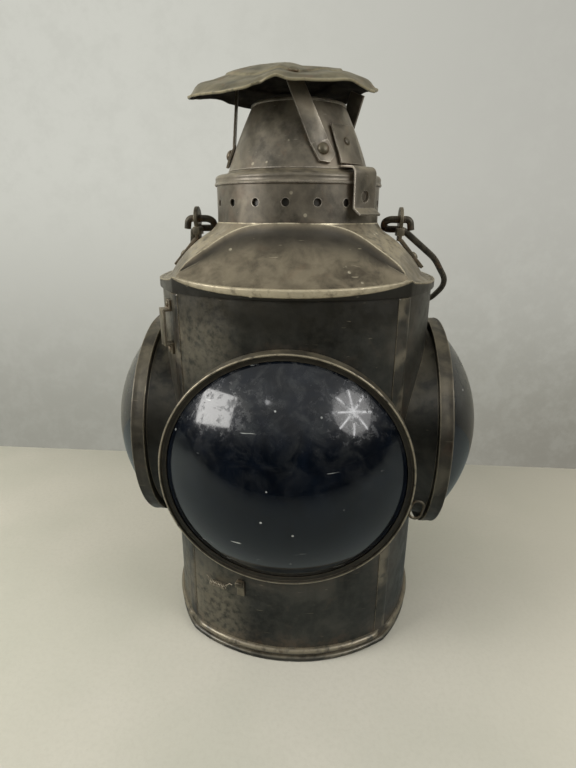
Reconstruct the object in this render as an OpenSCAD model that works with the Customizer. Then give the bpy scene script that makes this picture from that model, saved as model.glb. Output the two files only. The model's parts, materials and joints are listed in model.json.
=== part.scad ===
// Four-lens caboose lamp: four-sided case, hinged hood with crown, swinging bail, lift-out oil burner.
// Millimetres, +Z up, origin at the middle of the base, front lens towards -Y.

/* [Case] */
// Distance from the lamp's axis to the middle of each side panel
case_r = 86.2; // [86:0.1:86.2]
// Radius of the arc that each side panel follows
panel_r = 103.4; // [102:0.1:105]
// Sheet thickness of the case, dome, collar and hood
sheet = 1.2; // [0.8:0.1:1.6]
// Height at which the case wall starts above the floor
case_foot_z = 4; // [2:0.5:8]
// Height of the case wall's top edge
case_top_z = 235.6; // [225:0.1:250]
// Section radius of the rolled foot bead
bead_r = 2.2; // [1.5:0.1:3]
// Height of the middle of the foot bead
bead_z = 8.3; // [6:0.1:12]
// Half angle of a foot bead, seen from the middle of its panel's arc
bead_half_angle = 36; // [30:1:36]
// Height of the base pan's rim
pan_h = 12; // [8:1:20]
// How far the base pan's flange stands proud of the panels
flange_out = 1.8; // [1:0.1:1.9]

/* [Lenses] */
// Height of the lens centres
lens_z = 138.9; // [125:0.1:145]
// Outer radius of the lens rings
ring_r = 71; // [70:0.5:71.5]
// Distance from the lamp's axis to the rings' back edge
ring_back = 86.8; // [86.8:0.1:90]
// Depth of a lens ring
ring_depth = 8.4; // [8:0.1:10]
// Wall of a lens ring
ring_wall = 1.1; // [0.8:0.1:1.5]
// Radius of the glass that shows inside a ring
glass_r = 66.5; // [62:0.5:67]
// Spherical radius of the glass
glass_ball_r = 88.7; // [85:0.1:100]
// Thickness of the glass at its edge
glass_wall = 6; // [4:0.5:8]
// Number of optical steps inside a glass
glass_steps = 7; // [3:1:9]
// Radius of a lens barrel where it meets its ring
barrel_r = 66; // [64:0.5:66]
// How much a barrel narrows for each millimetre towards the axis
barrel_taper = 0.28; // [0.25:0.01:0.4]

/* [Dome] */
// Height of the dome where it meets the collar
dome_top_z = 268; // [262:0.5:275]
// Height of the dome's outer shoulder
dome_edge_z = 241.5; // [240:0.1:244]
// Radius of the dome's outer shoulder
dome_edge_r = 79.5; // [78:0.1:81]
// Radius of the dome's profile arc
dome_arc_r = 66.5; // [60:0.5:90]
// Distance from the axis to the flat part of an arch
arch_y = 45.5; // [44:0.5:48]
// How much squarer the dome gets at its corners for each millimetre out from the collar
corner_gain = 0.0036; // [0.003:0.0001:0.004]
// How far an arch climbs the foot of the collar
arch_climb = 3; // [0:0.1:4]
// Height of the raised bead round an arch panel
arch_bead_h = 1.5; // [0.5:0.1:2]
// How deep an arch panel is dished
arch_dish = 2.4; // [1:0.1:3]
// Height of the rolled lip below an arch panel
lip_h = 2.4; // [1:0.1:3]
// How far the middle of the lip bulges out
lip_bulge = 0.9; // [0:0.1:1.5]

/* [Collar and hood] */
// Outer radius of the vent collar
collar_r = 50.4; // [49:0.1:51]
// How far the collar reaches up inside the brim
collar_reach = 3.8; // [1.2:0.1:8.2]
// Radius of a vent hole
vent_hole_r = 2.2; // [1.5:0.1:3]
// Number of vent holes
vent_count = 18; // [12:1:20]
// Height of the vent holes
vent_z = 282; // [278:0.5:286]
// How far the hood's brim stands out beyond the collar
brim_over = 1.4; // [1.4:0.1:2.5]
// Height of the brim's lower edge
brim_z = 291.8; // [291:0.1:293]
// Radius of the cone at its foot
cone_foot_r = 43; // [41:0.5:44]
// Radius of the cone at its mouth
cone_mouth_r = 28; // [24:0.5:32]
// Height of the cone
cone_h = 36; // [30:0.5:45]
// How far the cone's side bellies out
cone_belly = 0.9; // [0:0.1:1.5]
// Azimuth of the hood's latch; its hinge is opposite
latch_az = 47; // [40:1:55]
// Width of the latch plate and strap
latch_w = 18; // [12:0.5:20]
// Clear gap between the brim and the latch strap
latch_gap = 1.3; // [1.3:0.1:2]
// Height of the latch plate's rivet above the cone's foot
plate_rivet_h = 14.6; // [12:0.1:17]
// Thickness of the latch strap
latch_t = 1.2; // [0.8:0.1:1.5]

/* [Crown] */
// Radius of the crown cap
crown_r = 56; // [50:0.5:60]
// How far the crown sits off centre
crown_shift = -8; // [-10:0.5:0]
// Height of the crown's middle above the brim's lower edge
crown_rise = 68.6; // [63.2:0.1:73.2]
// Height of the crown's rim above the brim's lower edge, before its dents
crown_rim_rise = 49.2; // [44.2:0.1:53.2]
// Radius of the crown's flat middle
crown_flat_r = 34; // [28:0.5:38]
// Thickness of the crown
crown_t = 1.3; // [1:0.1:2]
// Width of a crown strap
strap_w = 10.5; // [8:0.5:12]
// Thickness of a crown strap
strap_t = 1.4; // [1:0.1:2]
// Height of the rivets at the feet of the crown straps above the brim's lower edge
strap_foot_rise = 17.2; // [15.2:0.5:22.2]

/* [Bail] */
// Height of the bail's pivot
bail_z = 273; // [271:0.5:278]
// Radius of the bail wire
wire_r = 2.2; // [1.8:0.1:2.4]
// Distance from the lamp's axis to the middle of each ear
ear_x = 65; // [64:0.5:67]
// Thickness of an ear
ear_t = 2; // [1.5:0.1:2.5]
// Radius of an ear's head
ear_head_r = 7.4; // [6:0.1:7.5]
// Clear gap between the hanging bail and the back lens ring
bail_clear = 5; // [4.5:0.1:6]
// Half width of the bail at its widest corner
bail_half_w = 113.5; // [108:0.5:116]
// How far the bail hangs below level at rest
bail_droop = 35; // [30:0.5:35]
// Running clearance round pivots and pins
run_gap = 0.06; // [0.03:0.01:0.1]

/* [Brackets and fittings] */
// Clear gap inside the bracket loop
loop_gap = 3.8; // [3.4:0.1:6]
// Width of the bracket loop
loop_w = 8; // [6:0.5:16]
// Height of the bracket loop
loop_h = 21.5; // [16:0.5:30]
// Thickness of the bracket loop
loop_t = 1.4; // [1:0.1:2]
// Height of the bracket loop's middle
loop_z = 214; // [200:0.5:215]
// Number of turns of the ring spring
spring_turns = 9; // [5:1:12]
// Coil radius of the ring spring, to the middle of its wire
spring_coil_r = 1.5; // [1.3:0.1:2.5]
// Wire radius of the ring spring
spring_wire_r = 0.35; // [0.3:0.01:0.4]
// Pitch of the ring spring
spring_pitch = 1.25; // [1.2:0.01:2]

/* [Burner] */
// Outer radius of the oil pot
pot_r = 44; // [38:0.5:45]
// Height of the oil pot's side
pot_h = 78; // [60:1:85]
// Wall of the oil pot
pot_wall = 1; // [0.8:0.1:1.5]
// Height of the burner's deflector top
burner_top_z = 128; // [120:0.5:130]
// Width of the wick
wick_w = 15; // [10:0.5:16]
// Thickness of the wick
wick_t = 2.4; // [1.8:0.1:3]
// Radius of the wick wheel
wheel_r = 4; // [3:0.1:4.5]
// Radius of the wick wheel's shaft
shaft_r = 1.2; // [0.8:0.1:1.5]
// Radius of the filler cap
cap_r = 8; // [6:0.5:9]

/* [Hidden] */

$fn = 96;
eps = 0.01;

// The collar's top and the hood's heights follow from the brim
collar_top_z = brim_z + collar_reach;
crown_z = brim_z + crown_rise;
crown_rim_z = brim_z + crown_rim_rise;
strap_foot_z = brim_z + strap_foot_rise;
// Clearance between pieces that are fixed together
seat_gap = 0.1;
// Clearance between a lens ring and the lip of its barrel
lip_gap = 0.15;
brim_r = collar_r + brim_over;
latch_in_r = brim_r + latch_gap;
bail_reach = (ring_back + ring_depth + bail_clear + wire_r) / cos(bail_droop);

// Azimuths of the four lenses, the front one first
LENS_AZ = [0, 90, 180, 270];
black = [0.20, 0.19, 0.16];
worn = [0.45, 0.42, 0.34];
pale = [0.56, 0.52, 0.42];
brass = [0.58, 0.45, 0.22];

// A point that runs in a circle through the front (azimuth 0), the right (90) and the back (180)
function az_dir(a) = [sin(a), -cos(a)];
function mix(a, b, t) = a + (b - a) * t;

// Puts children, drawn with X outwards, Y to the right seen from inside and Z up, at an azimuth
module at_az(a, r = 0, z = 0) {
    rotate([0, 0, a - 90]) translate([r, 0, z]) children();
}

// Puts children, drawn along +Z, on the outward axis of a lens
module lens_axis(a) {
    at_az(a, 0, lens_z) rotate([0, 90, 0]) children();
}

// A tube along Z
module tube(r_out, r_in, z0, z1) {
    difference() {
        translate([0, 0, z0]) cylinder(r = r_out, h = z1 - z0);
        translate([0, 0, z0 - 1]) cylinder(r = r_in, h = z1 - z0 + 2);
    }
}

// A domed rivet head standing on z = 0
module rivet_head(r, h) {
    ball = (r * r + h * h) / (2 * h);
    intersection() {
        translate([0, 0, h - ball]) sphere(r = ball);
        cylinder(r = r + 1, h = h + 1);
    }
}

// The solid that a lens barrel takes out of the case wall, grown by gap
module barrel_cone(gap) {
    far = ring_back;
    near = 30;
    translate([0, 0, near])
        cylinder(r1 = barrel_r - (far - near) * barrel_taper + gap, r2 = barrel_r + gap, h = far - near);
}

// Case

// Distance from the axis to the middle of a panel's arc, on the far side of the axis
panel_off = panel_r - case_r;

// Radius of the four-sided outline at an azimuth, grown outwards by grow
function side_angle(a) = ((a % 90) + 135) % 90 - 45;
function wall_r(a, grow = 0) = let (d = side_angle(a))
    sqrt(pow(panel_r + grow, 2) - pow(panel_off * sin(d), 2)) - panel_off * cos(d);

// Puts children, drawn with X outwards, on a side panel: b is the turn round its arc
module at_panel(a, b, out, z) {
    at_az(a, -panel_off, z) rotate([0, 0, b]) translate([panel_r + out, 0, 0]) children();
}

module panel_drum(a, grow, z0, z1) {
    at_az(a, -panel_off, z0) cylinder(r = panel_r + grow, h = z1 - z0, $fn = 128);
}

// A block with four bulged sides
module four_sided(grow, z0, z1) {
    intersection() {
        panel_drum(0, grow, z0, z1);
        panel_drum(90, grow, z0, z1);
        panel_drum(180, grow, z0, z1);
        panel_drum(270, grow, z0, z1);
    }
}

module foot_beads() {
    for (a = LENS_AZ) at_az(a, -panel_off, bead_z) rotate([0, 0, -bead_half_angle])
        rotate_extrude(angle = 2 * bead_half_angle, $fn = 128)
            translate([panel_r, 0]) circle(r = bead_r, $fn = 32);
}

module case_body() {
    color(black) difference() {
        union() {
            four_sided(0, case_foot_z, case_top_z);
            foot_beads();
        }
        four_sided(-sheet, case_foot_z - 1, case_top_z + 1);
        for (a = LENS_AZ) lens_axis(a) barrel_cone(seat_gap);
    }
}

pan_in = -sheet - 0.2;

module flange_drum(a) {
    at_az(a, -panel_off, 0) rotate_extrude($fn = 128) polygon([[0, 0.3], [panel_r + flange_out - 0.7, 0.3],
        [panel_r + flange_out, 1], [panel_r + flange_out, 2.8], [panel_r + flange_out - 0.9, 3.7], [0, 3.7]]);
}

module base_pan() {
    color(black) difference() {
        union() {
            four_sided(pan_in, 0, pan_h);
            intersection() {
                flange_drum(0);
                flange_drum(90);
                flange_drum(180);
                flange_drum(270);
            }
        }
        four_sided(pan_in - sheet, sheet, pan_h + 1);
    }
}

// Height of the dome's pressed profile at radius r
dome_mid = [(collar_r + dome_edge_r) / 2, (dome_top_z + dome_edge_z) / 2];
dome_half = norm([dome_edge_r - collar_r, dome_edge_z - dome_top_z]) / 2;
dome_back = sqrt(dome_arc_r * dome_arc_r - dome_half * dome_half);
dome_cx = dome_mid[0] - dome_back * (dome_top_z - dome_edge_z) / (2 * dome_half);
dome_cz = dome_mid[1] - dome_back * (dome_edge_r - collar_r) / (2 * dome_half);
ledge_fall = 0.55;
function dome_z(r) = r < dome_edge_r
    ? dome_cz + sqrt(pow(dome_arc_r, 2) - pow(r - dome_cx, 2))
    : dome_edge_z - (r - dome_edge_r) * ledge_fall;

// Height of the dome at an azimuth and radius: its level outlines get squarer towards the corners
function squareness(a) = (1 / cos(side_angle(a)) - 1) / (sqrt(2) - 1);
function shell_z(a, r) = dome_z(r / (1 + corner_gain * (r - collar_r) * squareness(a)));
function z_at(p) = shell_z(atan2(p[0], -p[1]), norm(p));

dome_hole_r = collar_r + seat_gap;
lip_in = -1.8;
skirt_out = 1.2;
shelf_z = case_top_z + seat_gap;

// A point of the outline grown by g, on the front panel in line with the arch point at x
function on_front(x, g) = let (q = x * wall_r(45, g) / wall_r(45, 0))
    [q, panel_off - sqrt(pow(panel_r + g, 2) - q * q)];

// Plan of the arch bead: nearly a flat plane, carried round the collar and out to the corners
tip = 61.2;
function arch_depth(x) = arch_y + (tip - arch_y) * pow(abs(x) / tip, 3.6);
function arch_point(x) = let (round = max(0, pow(dome_hole_r + 1.2, 2) - x * x))
    [x, -pow(pow(round, 6) + pow(arch_depth(x), 12), 1 / 12)];

// One section of the dome: its [x, y, z] points out over the top, then back underneath.
// In front and behind it passes an arch bead, a dished panel and a lip; at the sides it is plain.
function section_points(a, p0, pb, pl, ps, po, bead, climb, dish, lip, rim) = let (
    far = norm(pb - p0), back = unit(p0 - pb), wide = norm(pl - pb),
    n2 = min(2.2, 0.6 * far), n3 = min(1.1, 0.3 * far),
    q2 = pb + n2 * back, q3 = pb + n3 * back, zb = z_at(pb) + climb,
    zl = rim - lip - 0.4,
    top = [for (s = [0.06, 0.12, 0.3, 0.5, 0.7, 0.9]) mix(pb, pl, s)],
    ztop = [for (i = [0:5], s = [[0.06, 0.12, 0.3, 0.5, 0.7, 0.9][i]])
        mix(mix(zb, zl, s) - dish * wide / 34 * 4 * s * (1 - s), z_at(top[i]), 1 - min(1, bead / arch_bead_h))
        + (i == 0 ? 0.6 * bead : 0)])
    concat(
        [[p0[0], p0[1], z_at(p0)]],
        [for (s = [0.25, 0.5, 0.75]) let (p = mix(p0, q2, s)) [p[0], p[1], z_at(p)]],
        [[q2[0], q2[1], z_at(q2)], [q3[0], q3[1], z_at(q3) + 0.7 * (bead + climb)], [pb[0], pb[1], zb + bead]],
        [for (i = [0:5]) [top[i][0], top[i][1], ztop[i]]],
        [[pl[0], pl[1], zl], [mix(pl, ps, 0.7)[0], mix(pl, ps, 0.7)[1], rim - 0.3 * lip],
         [mix(ps, po, 0.25)[0], mix(ps, po, 0.25)[1], rim], [po[0], po[1], rim - 0.9],
         [po[0], po[1], shelf_z - 1.1], [ps[0], ps[1], shelf_z - 1.1], [ps[0], ps[1], shelf_z],
         [pl[0] * 0.995, pl[1] * 0.995, min(shelf_z + 0.3, zl - 1.5)]],
        [for (i = [5, 3, 1]) let (p = top[i] * 0.99) [p[0], p[1], ztop[i] - 1.8]],
        [let (p = pb - (pb - p0) * min(0.5, 1 / far)) [p[0], p[1], min(z_at(p), zb) - 1.8],
         [p0[0], p0[1], z_at(p0) - 1.7]]);

function section(i) = let (
    a = i * 3.75, near = a <= 45 || a >= 315, far = a >= 135 && a <= 225, arch = near || far,
    b = near ? (a > 180 ? a - 360 : a) : a - 180, u = b / 45, s = near ? 1 : -1,
    x = tip * sin(abs(u) * 66) / sin(66) * sign(u), g = 1 - u * u,
    p0 = az_dir(a) * dome_hole_r)
    arch ? section_points(a, p0, s * arch_point(x),
        s * on_front(x * 64 / tip, lip_in), s * on_front(x * 64 / tip, seat_gap),
        s * on_front(x * 64 / tip, skirt_out + lip_bulge * g), arch_bead_h * min(1, 0.4 + 8 * (1 - abs(u))),
        arch_climb * max(0, 1 - pow(b / 30, 2)), arch_dish, lip_h * g, rim_top(1 - abs(u)))
    : let (d = min(abs(a - 90), abs(a - 270)) / 45, k = pow(d, 6))
        section_points(a, p0, az_dir(a) * mix(dome_edge_r - 7.5, tip * sqrt(2), k), az_dir(a) * wall_r(a, lip_in),
            az_dir(a) * wall_r(a, seat_gap), az_dir(a) * wall_r(a, skirt_out), 0.6 * pow(d, 12), 0, 0, 0,
            shell_z(a, wall_r(a, -0.6)) + 0.5);

// Top of the rim from an arch's tip (0) to its middle (1)
function rim_top(t) = let (edge = shell_z(45, wall_r(45, -0.6)) + 0.5) mix(edge, case_top_z + 5, 1 - pow(1 - t, 2));

module case_dome() {
    rows = [for (i = [0:95]) section(i)];
    m = len(rows[0]);
    pts = [for (row = rows, p = row) p];
    faces = [for (i = [0:95], j = [0:m - 1]) let (
        p = i * m + j, q = i * m + (j + 1) % m, s = ((i + 1) % 96) * m + j, t = ((i + 1) % 96) * m + (j + 1) % m)
        each [[p, t, q], [p, s, t]]];
    color(pale) polyhedron(pts, faces);
}

module vent_collar() {
    color(worn) difference() {
        tube(collar_r, collar_r - sheet, dome_top_z - 8, collar_top_z);
        for (i = [0:vent_count - 1])
            at_az(i * 360 / vent_count - 4.4, collar_r - 4, vent_z)
                rotate([0, 90, 0]) cylinder(r = vent_hole_r, h = 8, $fn = 32);
    }
}

// Lenses

seat_front = ring_back + 1.2;
glass_flange_r = ring_r - ring_wall - 1.2;
ring_front = ring_back + ring_depth;
// Distance from the lamp's axis to the middle of the glass's sphere
glass_ball_y = ring_front - 2.2 - sqrt(pow(glass_ball_r, 2) - pow(glass_r, 2));
glass_edge_y = ring_front - 2.7;

module lens_barrel(a) {
    color(black) difference() {
        union() {
            lens_axis(a) barrel_cone(0);
            lens_axis(a) translate([0, 0, ring_back])
                cylinder(r = ring_r - ring_wall - lip_gap, h = seat_front - ring_back);
        }
        lens_axis(a) translate([0, 0, -2 * barrel_taper]) barrel_cone(-sheet);
        lens_axis(a) translate([0, 0, ring_back - 1]) cylinder(r = barrel_r - sheet, h = 4);
        four_sided(-sheet, 1, 260);
    }
}

module lens(a) {
    ball_in = glass_ball_r - glass_wall;
    step = (glass_r - 6) / glass_steps;
    color([0.06, 0.07, 0.09, 0.6]) lens_axis(a) difference() {
        union() {
            intersection() {
                translate([0, 0, glass_ball_y]) sphere(r = glass_ball_r, $fn = 128);
                translate([0, 0, seat_front + seat_gap]) cylinder(r = glass_r - 0.1, h = 60);
            }
            translate([0, 0, seat_front + seat_gap])
                cylinder(r = glass_flange_r, h = glass_edge_y - seat_front - seat_gap);
        }
        for (i = [1:glass_steps]) {
            r = i * step;
            translate([0, 0, 0])
                cylinder(r = r, h = glass_ball_y + sqrt(pow(ball_in, 2) - pow(r, 2)));
        }
    }
}

module lens_ring(a) {
    color(worn) lens_axis(a) rotate_extrude() {
        difference() {
            translate([glass_r, ring_back]) square([ring_r - glass_r, ring_depth - 0.6]);
            translate([glass_r - 1, ring_back - 1])
                square([ring_r - ring_wall - glass_r + 1, ring_depth - 2.5 + 1]);
            translate([glass_r - 1, ring_front - 1.3]) square([ring_r - ring_wall - glass_r + 0.6, 3]);
        }
        translate([ring_r - 0.9, ring_front - 0.9]) circle(r = 0.9, $fn = 24);
    }
}

// A route through [x, y, bend radius] points, with its corners rounded

function heading(p, q) = atan2(q[1] - p[1], q[0] - p[0]);
function turn(p, q, r) = let (t = heading(q, r) - heading(p, q)) t > 180 ? t - 360 : t < -180 ? t + 360 : t;
function bend(p, q, r) = let (
    t = turn(p, q, r), s = t > 0 ? 1 : -1, h = heading(p, q), back = q[2] * tan(abs(t) / 2),
    mid = [q[0], q[1]] - back * [cos(h), sin(h)] + s * q[2] * [-sin(h), cos(h)],
    n = max(2, ceil(abs(t) / 13)))
    [for (k = [0:n]) let (g = h - s * 90 + k * t / n) [mid[0] + q[2] * cos(g), mid[1] + q[2] * sin(g), 0]];
function rounded(pts) = let (last = len(pts) - 1) concat(
    [[pts[0][0], pts[0][1], 0]],
    [for (i = [1:last - 1]) each bend(pts[i - 1], pts[i], pts[i + 1])],
    [[pts[last][0], pts[last][1], 0]]);

function unit(v) = v / norm(v);

// A round wire swept along a route in one unbroken skin
module swept_wire(route, r, sides) {
    n = len(route);
    dirs = [for (i = [0:n - 1]) unit(route[min(i + 1, n - 1)] - route[max(i - 1, 0)])];
    first = unit(cross(dirs[0], [0.01, 0.02, 1]));
    across = [for (i = 0, s = first; i < n;
        i = i + 1, s = unit(s - (s * dirs[min(i, n - 1)]) * dirs[min(i, n - 1)])) s];
    pts = [for (i = [0:n - 1], k = [0:sides - 1]) let (a = k * 360 / sides)
        route[i] + r * (cos(a) * across[i] + sin(a) * cross(across[i], dirs[i]))];
    skin = [for (i = [0:n - 2], k = [0:sides - 1]) let (p = i * sides + k, q = i * sides + (k + 1) % sides)
        each [[p, q + sides, p + sides], [p, q, q + sides]]];
    last = (n - 1) * sides;
    near_cap = [for (k = [1:sides - 2]) [0, k + 1, k]];
    far_cap = [for (k = [1:sides - 2]) [last, last + k, last + k + 1]];
    polyhedron(pts, concat(skin, near_cap, far_cap));
}

// Ring loop, spring and its tab

module ring_loop() {
    loop_r = 3.4;
    loop_wire = 0.75;
    loop_len = 4.2;
    loop_angle = -14;
    color(worn) lens_axis(0) rotate([0, 0, 90 - loop_angle])
        translate([ring_r + loop_wire + 0.15, 0, ring_back + ring_depth / 2]) {
        translate([loop_r, 0, 0]) for (side = [-1, 1]) {
            translate([0, side * loop_len / 2, 0]) rotate([0, 0, side > 0 ? 0 : 180])
                rotate_extrude(angle = 180) translate([loop_r, 0]) circle(r = loop_wire, $fn = 24);
            translate([side * loop_r, -loop_len / 2, 0]) rotate([-90, 0, 0])
                cylinder(r = loop_wire, h = loop_len, $fn = 24);
        }
    }
}

// Route of the spring wire on the case: X along the case, Y up, Z outwards
spring_b = -24.5;
spring_z = 51.5;
spring_len = spring_turns * spring_pitch;
spring_rings = 8;
function spring_point(t) = [t * spring_pitch - spring_len / 2, spring_coil_r * cos(360 * t),
    spring_coil_r * sin(360 * t)];
spring_route = concat(
    [[-spring_len / 2 - 3.4, spring_coil_r + 2.4, 0], [-spring_len / 2 - 1.2, spring_coil_r + 0.6, 0]],
    [for (i = [0:spring_turns * spring_rings]) spring_point(i / spring_rings)],
    [[spring_len / 2 + 1.2, spring_coil_r + 0.6, 0], [spring_len / 2 + 3.2, spring_coil_r + 2.6, 0],
     [spring_len / 2 + 5.2, spring_coil_r + 2.4, 0]]);

// Least gap between turns of the spring, taken on points of its route a whole turn apart
spring_gap = min([for (i = [0:spring_turns * spring_rings], j = [i + 5:spring_turns * spring_rings])
    if (j < i + 2 * spring_rings && j > i + 4)
        norm(spring_point(i / spring_rings) - spring_point(j / spring_rings))]) - 2 * spring_wire_r;
echo(spring_least_gap = spring_gap);

// Turns the XYZ of the spring's route to along the case, up and outwards
module on_case(b, z, out) {
    at_panel(0, b, out, z) rotate([90, 0, 90]) children();
}

module ring_spring() {
    color(worn) on_case(spring_b, spring_z, spring_coil_r + spring_wire_r + 0.3)
        swept_wire(spring_route, spring_wire_r, 6);
}

tab_b = spring_b + 8.5;
module spring_tab() {
    color(worn) at_panel(0, tab_b, 0.15, spring_z) {
        translate([0, -2.5, -4]) cube([1, 5, 11]);
        translate([0, -2.5, 5.8]) cube([3.6, 5, 1.2]);
        translate([2.6, -2.5, 3.8]) cube([1, 5, 3]);
    }
}

// Bracket loops

loop_foot = 5;
loop_b = 33;

module bracket_loop() {
    color(worn) at_panel(-90, loop_b, 0.2, loop_z) {
        translate([loop_gap, -loop_w / 2, -loop_h / 2]) cube([loop_t, loop_w, loop_h]);
        for (side = [-1, 1]) {
            translate([0, -loop_w / 2, side * (loop_h / 2 - loop_t / 2) - loop_t / 2])
                cube([loop_gap + loop_t, loop_w, loop_t]);
            difference() {
                translate([0, -loop_w / 2, side > 0 ? loop_h / 2 - loop_t : -loop_h / 2 - loop_foot])
                    cube([loop_t, loop_w, loop_foot + loop_t]);
                translate([-1, 0, side * (loop_h + loop_foot) / 2]) rotate([0, 90, 0])
                    cylinder(r = 1.2, h = 4, $fn = 24);
            }
        }
    }
}

module bracket_rivets() {
    color(worn) for (side = [-1, 1])
        at_panel(-90, loop_b, 0.2 + loop_t, loop_z + side * (loop_h + loop_foot) / 2) rotate([0, 90, 0]) {
            translate([0, 0, 0.05]) rivet_head(2, 1.1);
            translate([0, 0, -loop_t - 0.1]) cylinder(r = 1.15, h = loop_t + 0.3, $fn = 24);
        }
}

// Bail and its ears

// Slope of the dome under an ear's foot
foot_x = 72.5;
foot_slope = asin((foot_x - dome_cx) / dome_arc_r);
foot_len = 20;
eye_r = wire_r + run_gap;

module bail_ear(side) {
    color(worn) rotate([0, 0, side > 0 ? 0 : 180]) {
        difference() {
            union() {
                translate([ear_x - ear_t / 2, 0, bail_z]) rotate([0, 90, 0]) cylinder(r = ear_head_r, h = ear_t);
                translate([ear_x - ear_t / 2, -5.2, dome_z(ear_x - ear_t / 2) + 0.4])
                    cube([ear_t, 10.4, bail_z - dome_z(ear_x - ear_t / 2) - 0.4]);
            }
            translate([ear_x - 5, 0, bail_z]) rotate([0, 90, 0]) cylinder(r = eye_r, h = 10);
        }
        translate([ear_x - 2.2, -5.7, bail_z - ear_head_r - 2.4]) difference() {
            cube([4.4, 11.4, 4.6]);
            translate([2.2 - ear_t / 2, 0.5, -1]) cube([ear_t, 10.4, 8]);
        }
        translate([foot_x, 0, dome_z(foot_x)]) rotate([0, foot_slope, 0]) difference() {
            translate([-foot_len / 2 - 1.4, -5.2, 0.15]) cube([foot_len + 2, 10.4, ear_t]);
            translate([2, 0, -1]) cylinder(r = 1.6, h = 5, $fn = 24);
        }
    }
}

module ear_rivets() {
    color(worn) for (side = [-1, 1]) rotate([0, 0, side > 0 ? 0 : 180])
        translate([foot_x, 0, dome_z(foot_x)]) rotate([0, foot_slope, 0]) translate([2, 0, 0.15]) {
            cylinder(r = 1.5, h = ear_t + 0.1, $fn = 24);
            translate([0, 0, ear_t + 0.05]) rivet_head(2.8, 1.5);
        }
}

crossing = 10.6;
hook_x = ear_x - 9.6;
journal_in = ear_x - 3.2;
journal_out = ear_x + 2.6;
sweep_r = wire_r - 0.03;
BAIL_SIDE = [
    [journal_in + 1, 0, 0], [hook_x, 0, 4.6], [hook_x, crossing, 4.6], [ear_x + 3, crossing, 10],
    [96, 46, 60], [bail_half_w, 82, 40], [104, bail_reach - 4, 24], [0, bail_reach, 400]
];
finger_turn = 50;

module bail() {
    half = len(BAIL_SIDE) - 1;
    route = concat([for (i = [0:half]) BAIL_SIDE[i]],
        [for (i = [half - 1:-1:0]) [-BAIL_SIDE[i][0], BAIL_SIDE[i][1], BAIL_SIDE[i][2]]]);
    finger = [[journal_out - 1, 0, 0], [ear_x + 6, 0, 3], [ear_x + 7, 6.4, 0]];
    color(worn) translate([0, 0, bail_z]) {
        for (side = [0, 1]) mirror([side, 0, 0]) {
            translate([journal_in, 0, 0]) rotate([0, 90, 0]) cylinder(r = wire_r, h = journal_out - journal_in);
            rotate([-bail_droop - finger_turn, 0, 0]) swept_wire(rounded(finger), sweep_r, 14);
        }
        rotate([-bail_droop, 0, 0]) swept_wire(rounded(route), sweep_r, 14);
    }
}

// Hinge of the hood

hinge_az = latch_az - 180;
hinge_r = brim_r + 2.6;
hinge_z = brim_z + 0.2;
knuckle_r = 2.2;
pin_r = 1;
knuckle_in = 3;
knuckle_out = 8;

module knuckle(t0, t1) {
    translate([hinge_r, t0, hinge_z]) rotate([-90, 0, 0]) cylinder(r = knuckle_r, h = t1 - t0);
}

module hinge_bore() {
    translate([hinge_r, -20, hinge_z]) rotate([-90, 0, 0]) cylinder(r = pin_r + run_gap, h = 40, $fn = 48);
}

module hinge_leaf_lower() {
    web_z = hinge_z - knuckle_r - 1.2;
    color(worn) difference() {
        union() {
            rotate([0, 0, hinge_az - 90 - 9]) rotate_extrude(angle = 18)
                translate([collar_r + seat_gap, web_z - 12]) square([sheet, 13.6]);
            at_az(hinge_az) for (side = [0, 1]) mirror([0, side, 0]) {
                knuckle(knuckle_in + 0.2, knuckle_out);
                translate([collar_r + 0.4, knuckle_in + 0.2, web_z])
                    cube([hinge_r - collar_r + 0.6, knuckle_out - knuckle_in - 0.2, 1.6]);
            }
        }
        at_az(hinge_az) hinge_bore();
    }
}

module hinge_leaf_upper() {
    color(worn) difference() {
        union() {
            at_az(hinge_az) knuckle(-knuckle_in, knuckle_in);
            intersection() {
                rotate([0, 0, hinge_az - 90 - 5]) rotate_extrude(angle = 10)
                    translate([brim_r + seat_gap, hinge_z]) square([sheet, 3.2]);
                at_az(hinge_az) translate([0, -knuckle_in, 0]) cube([80, 2 * knuckle_in, 400]);
            }
            at_az(hinge_az) translate([brim_r + 0.5, -knuckle_in, hinge_z + 0.4])
                cube([2, 2 * knuckle_in, 1.6]);
        }
        at_az(hinge_az) hinge_bore();
    }
}

module hinge_pin() {
    color(worn) at_az(hinge_az) translate([hinge_r, 0, hinge_z]) rotate([90, 0, 0]) {
        translate([0, 0, -knuckle_out - 0.2]) cylinder(r = pin_r, h = 2 * knuckle_out + 0.4, $fn = 48);
        for (side = [0, 1]) mirror([0, 0, side])
            translate([0, 0, knuckle_out + 0.15]) rivet_head(1.7, 1);
    }
}

// Hood

brim_corner = 3;
brim_wall = 1.1;
cone_z0 = brim_z + 8.2;

// Radius of the cone's outside at height z above its foot
function cone_r(h) = mix(cone_foot_r, cone_mouth_r, h / cone_h) + cone_belly * 4 * h / cone_h * (1 - h / cone_h);

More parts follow.
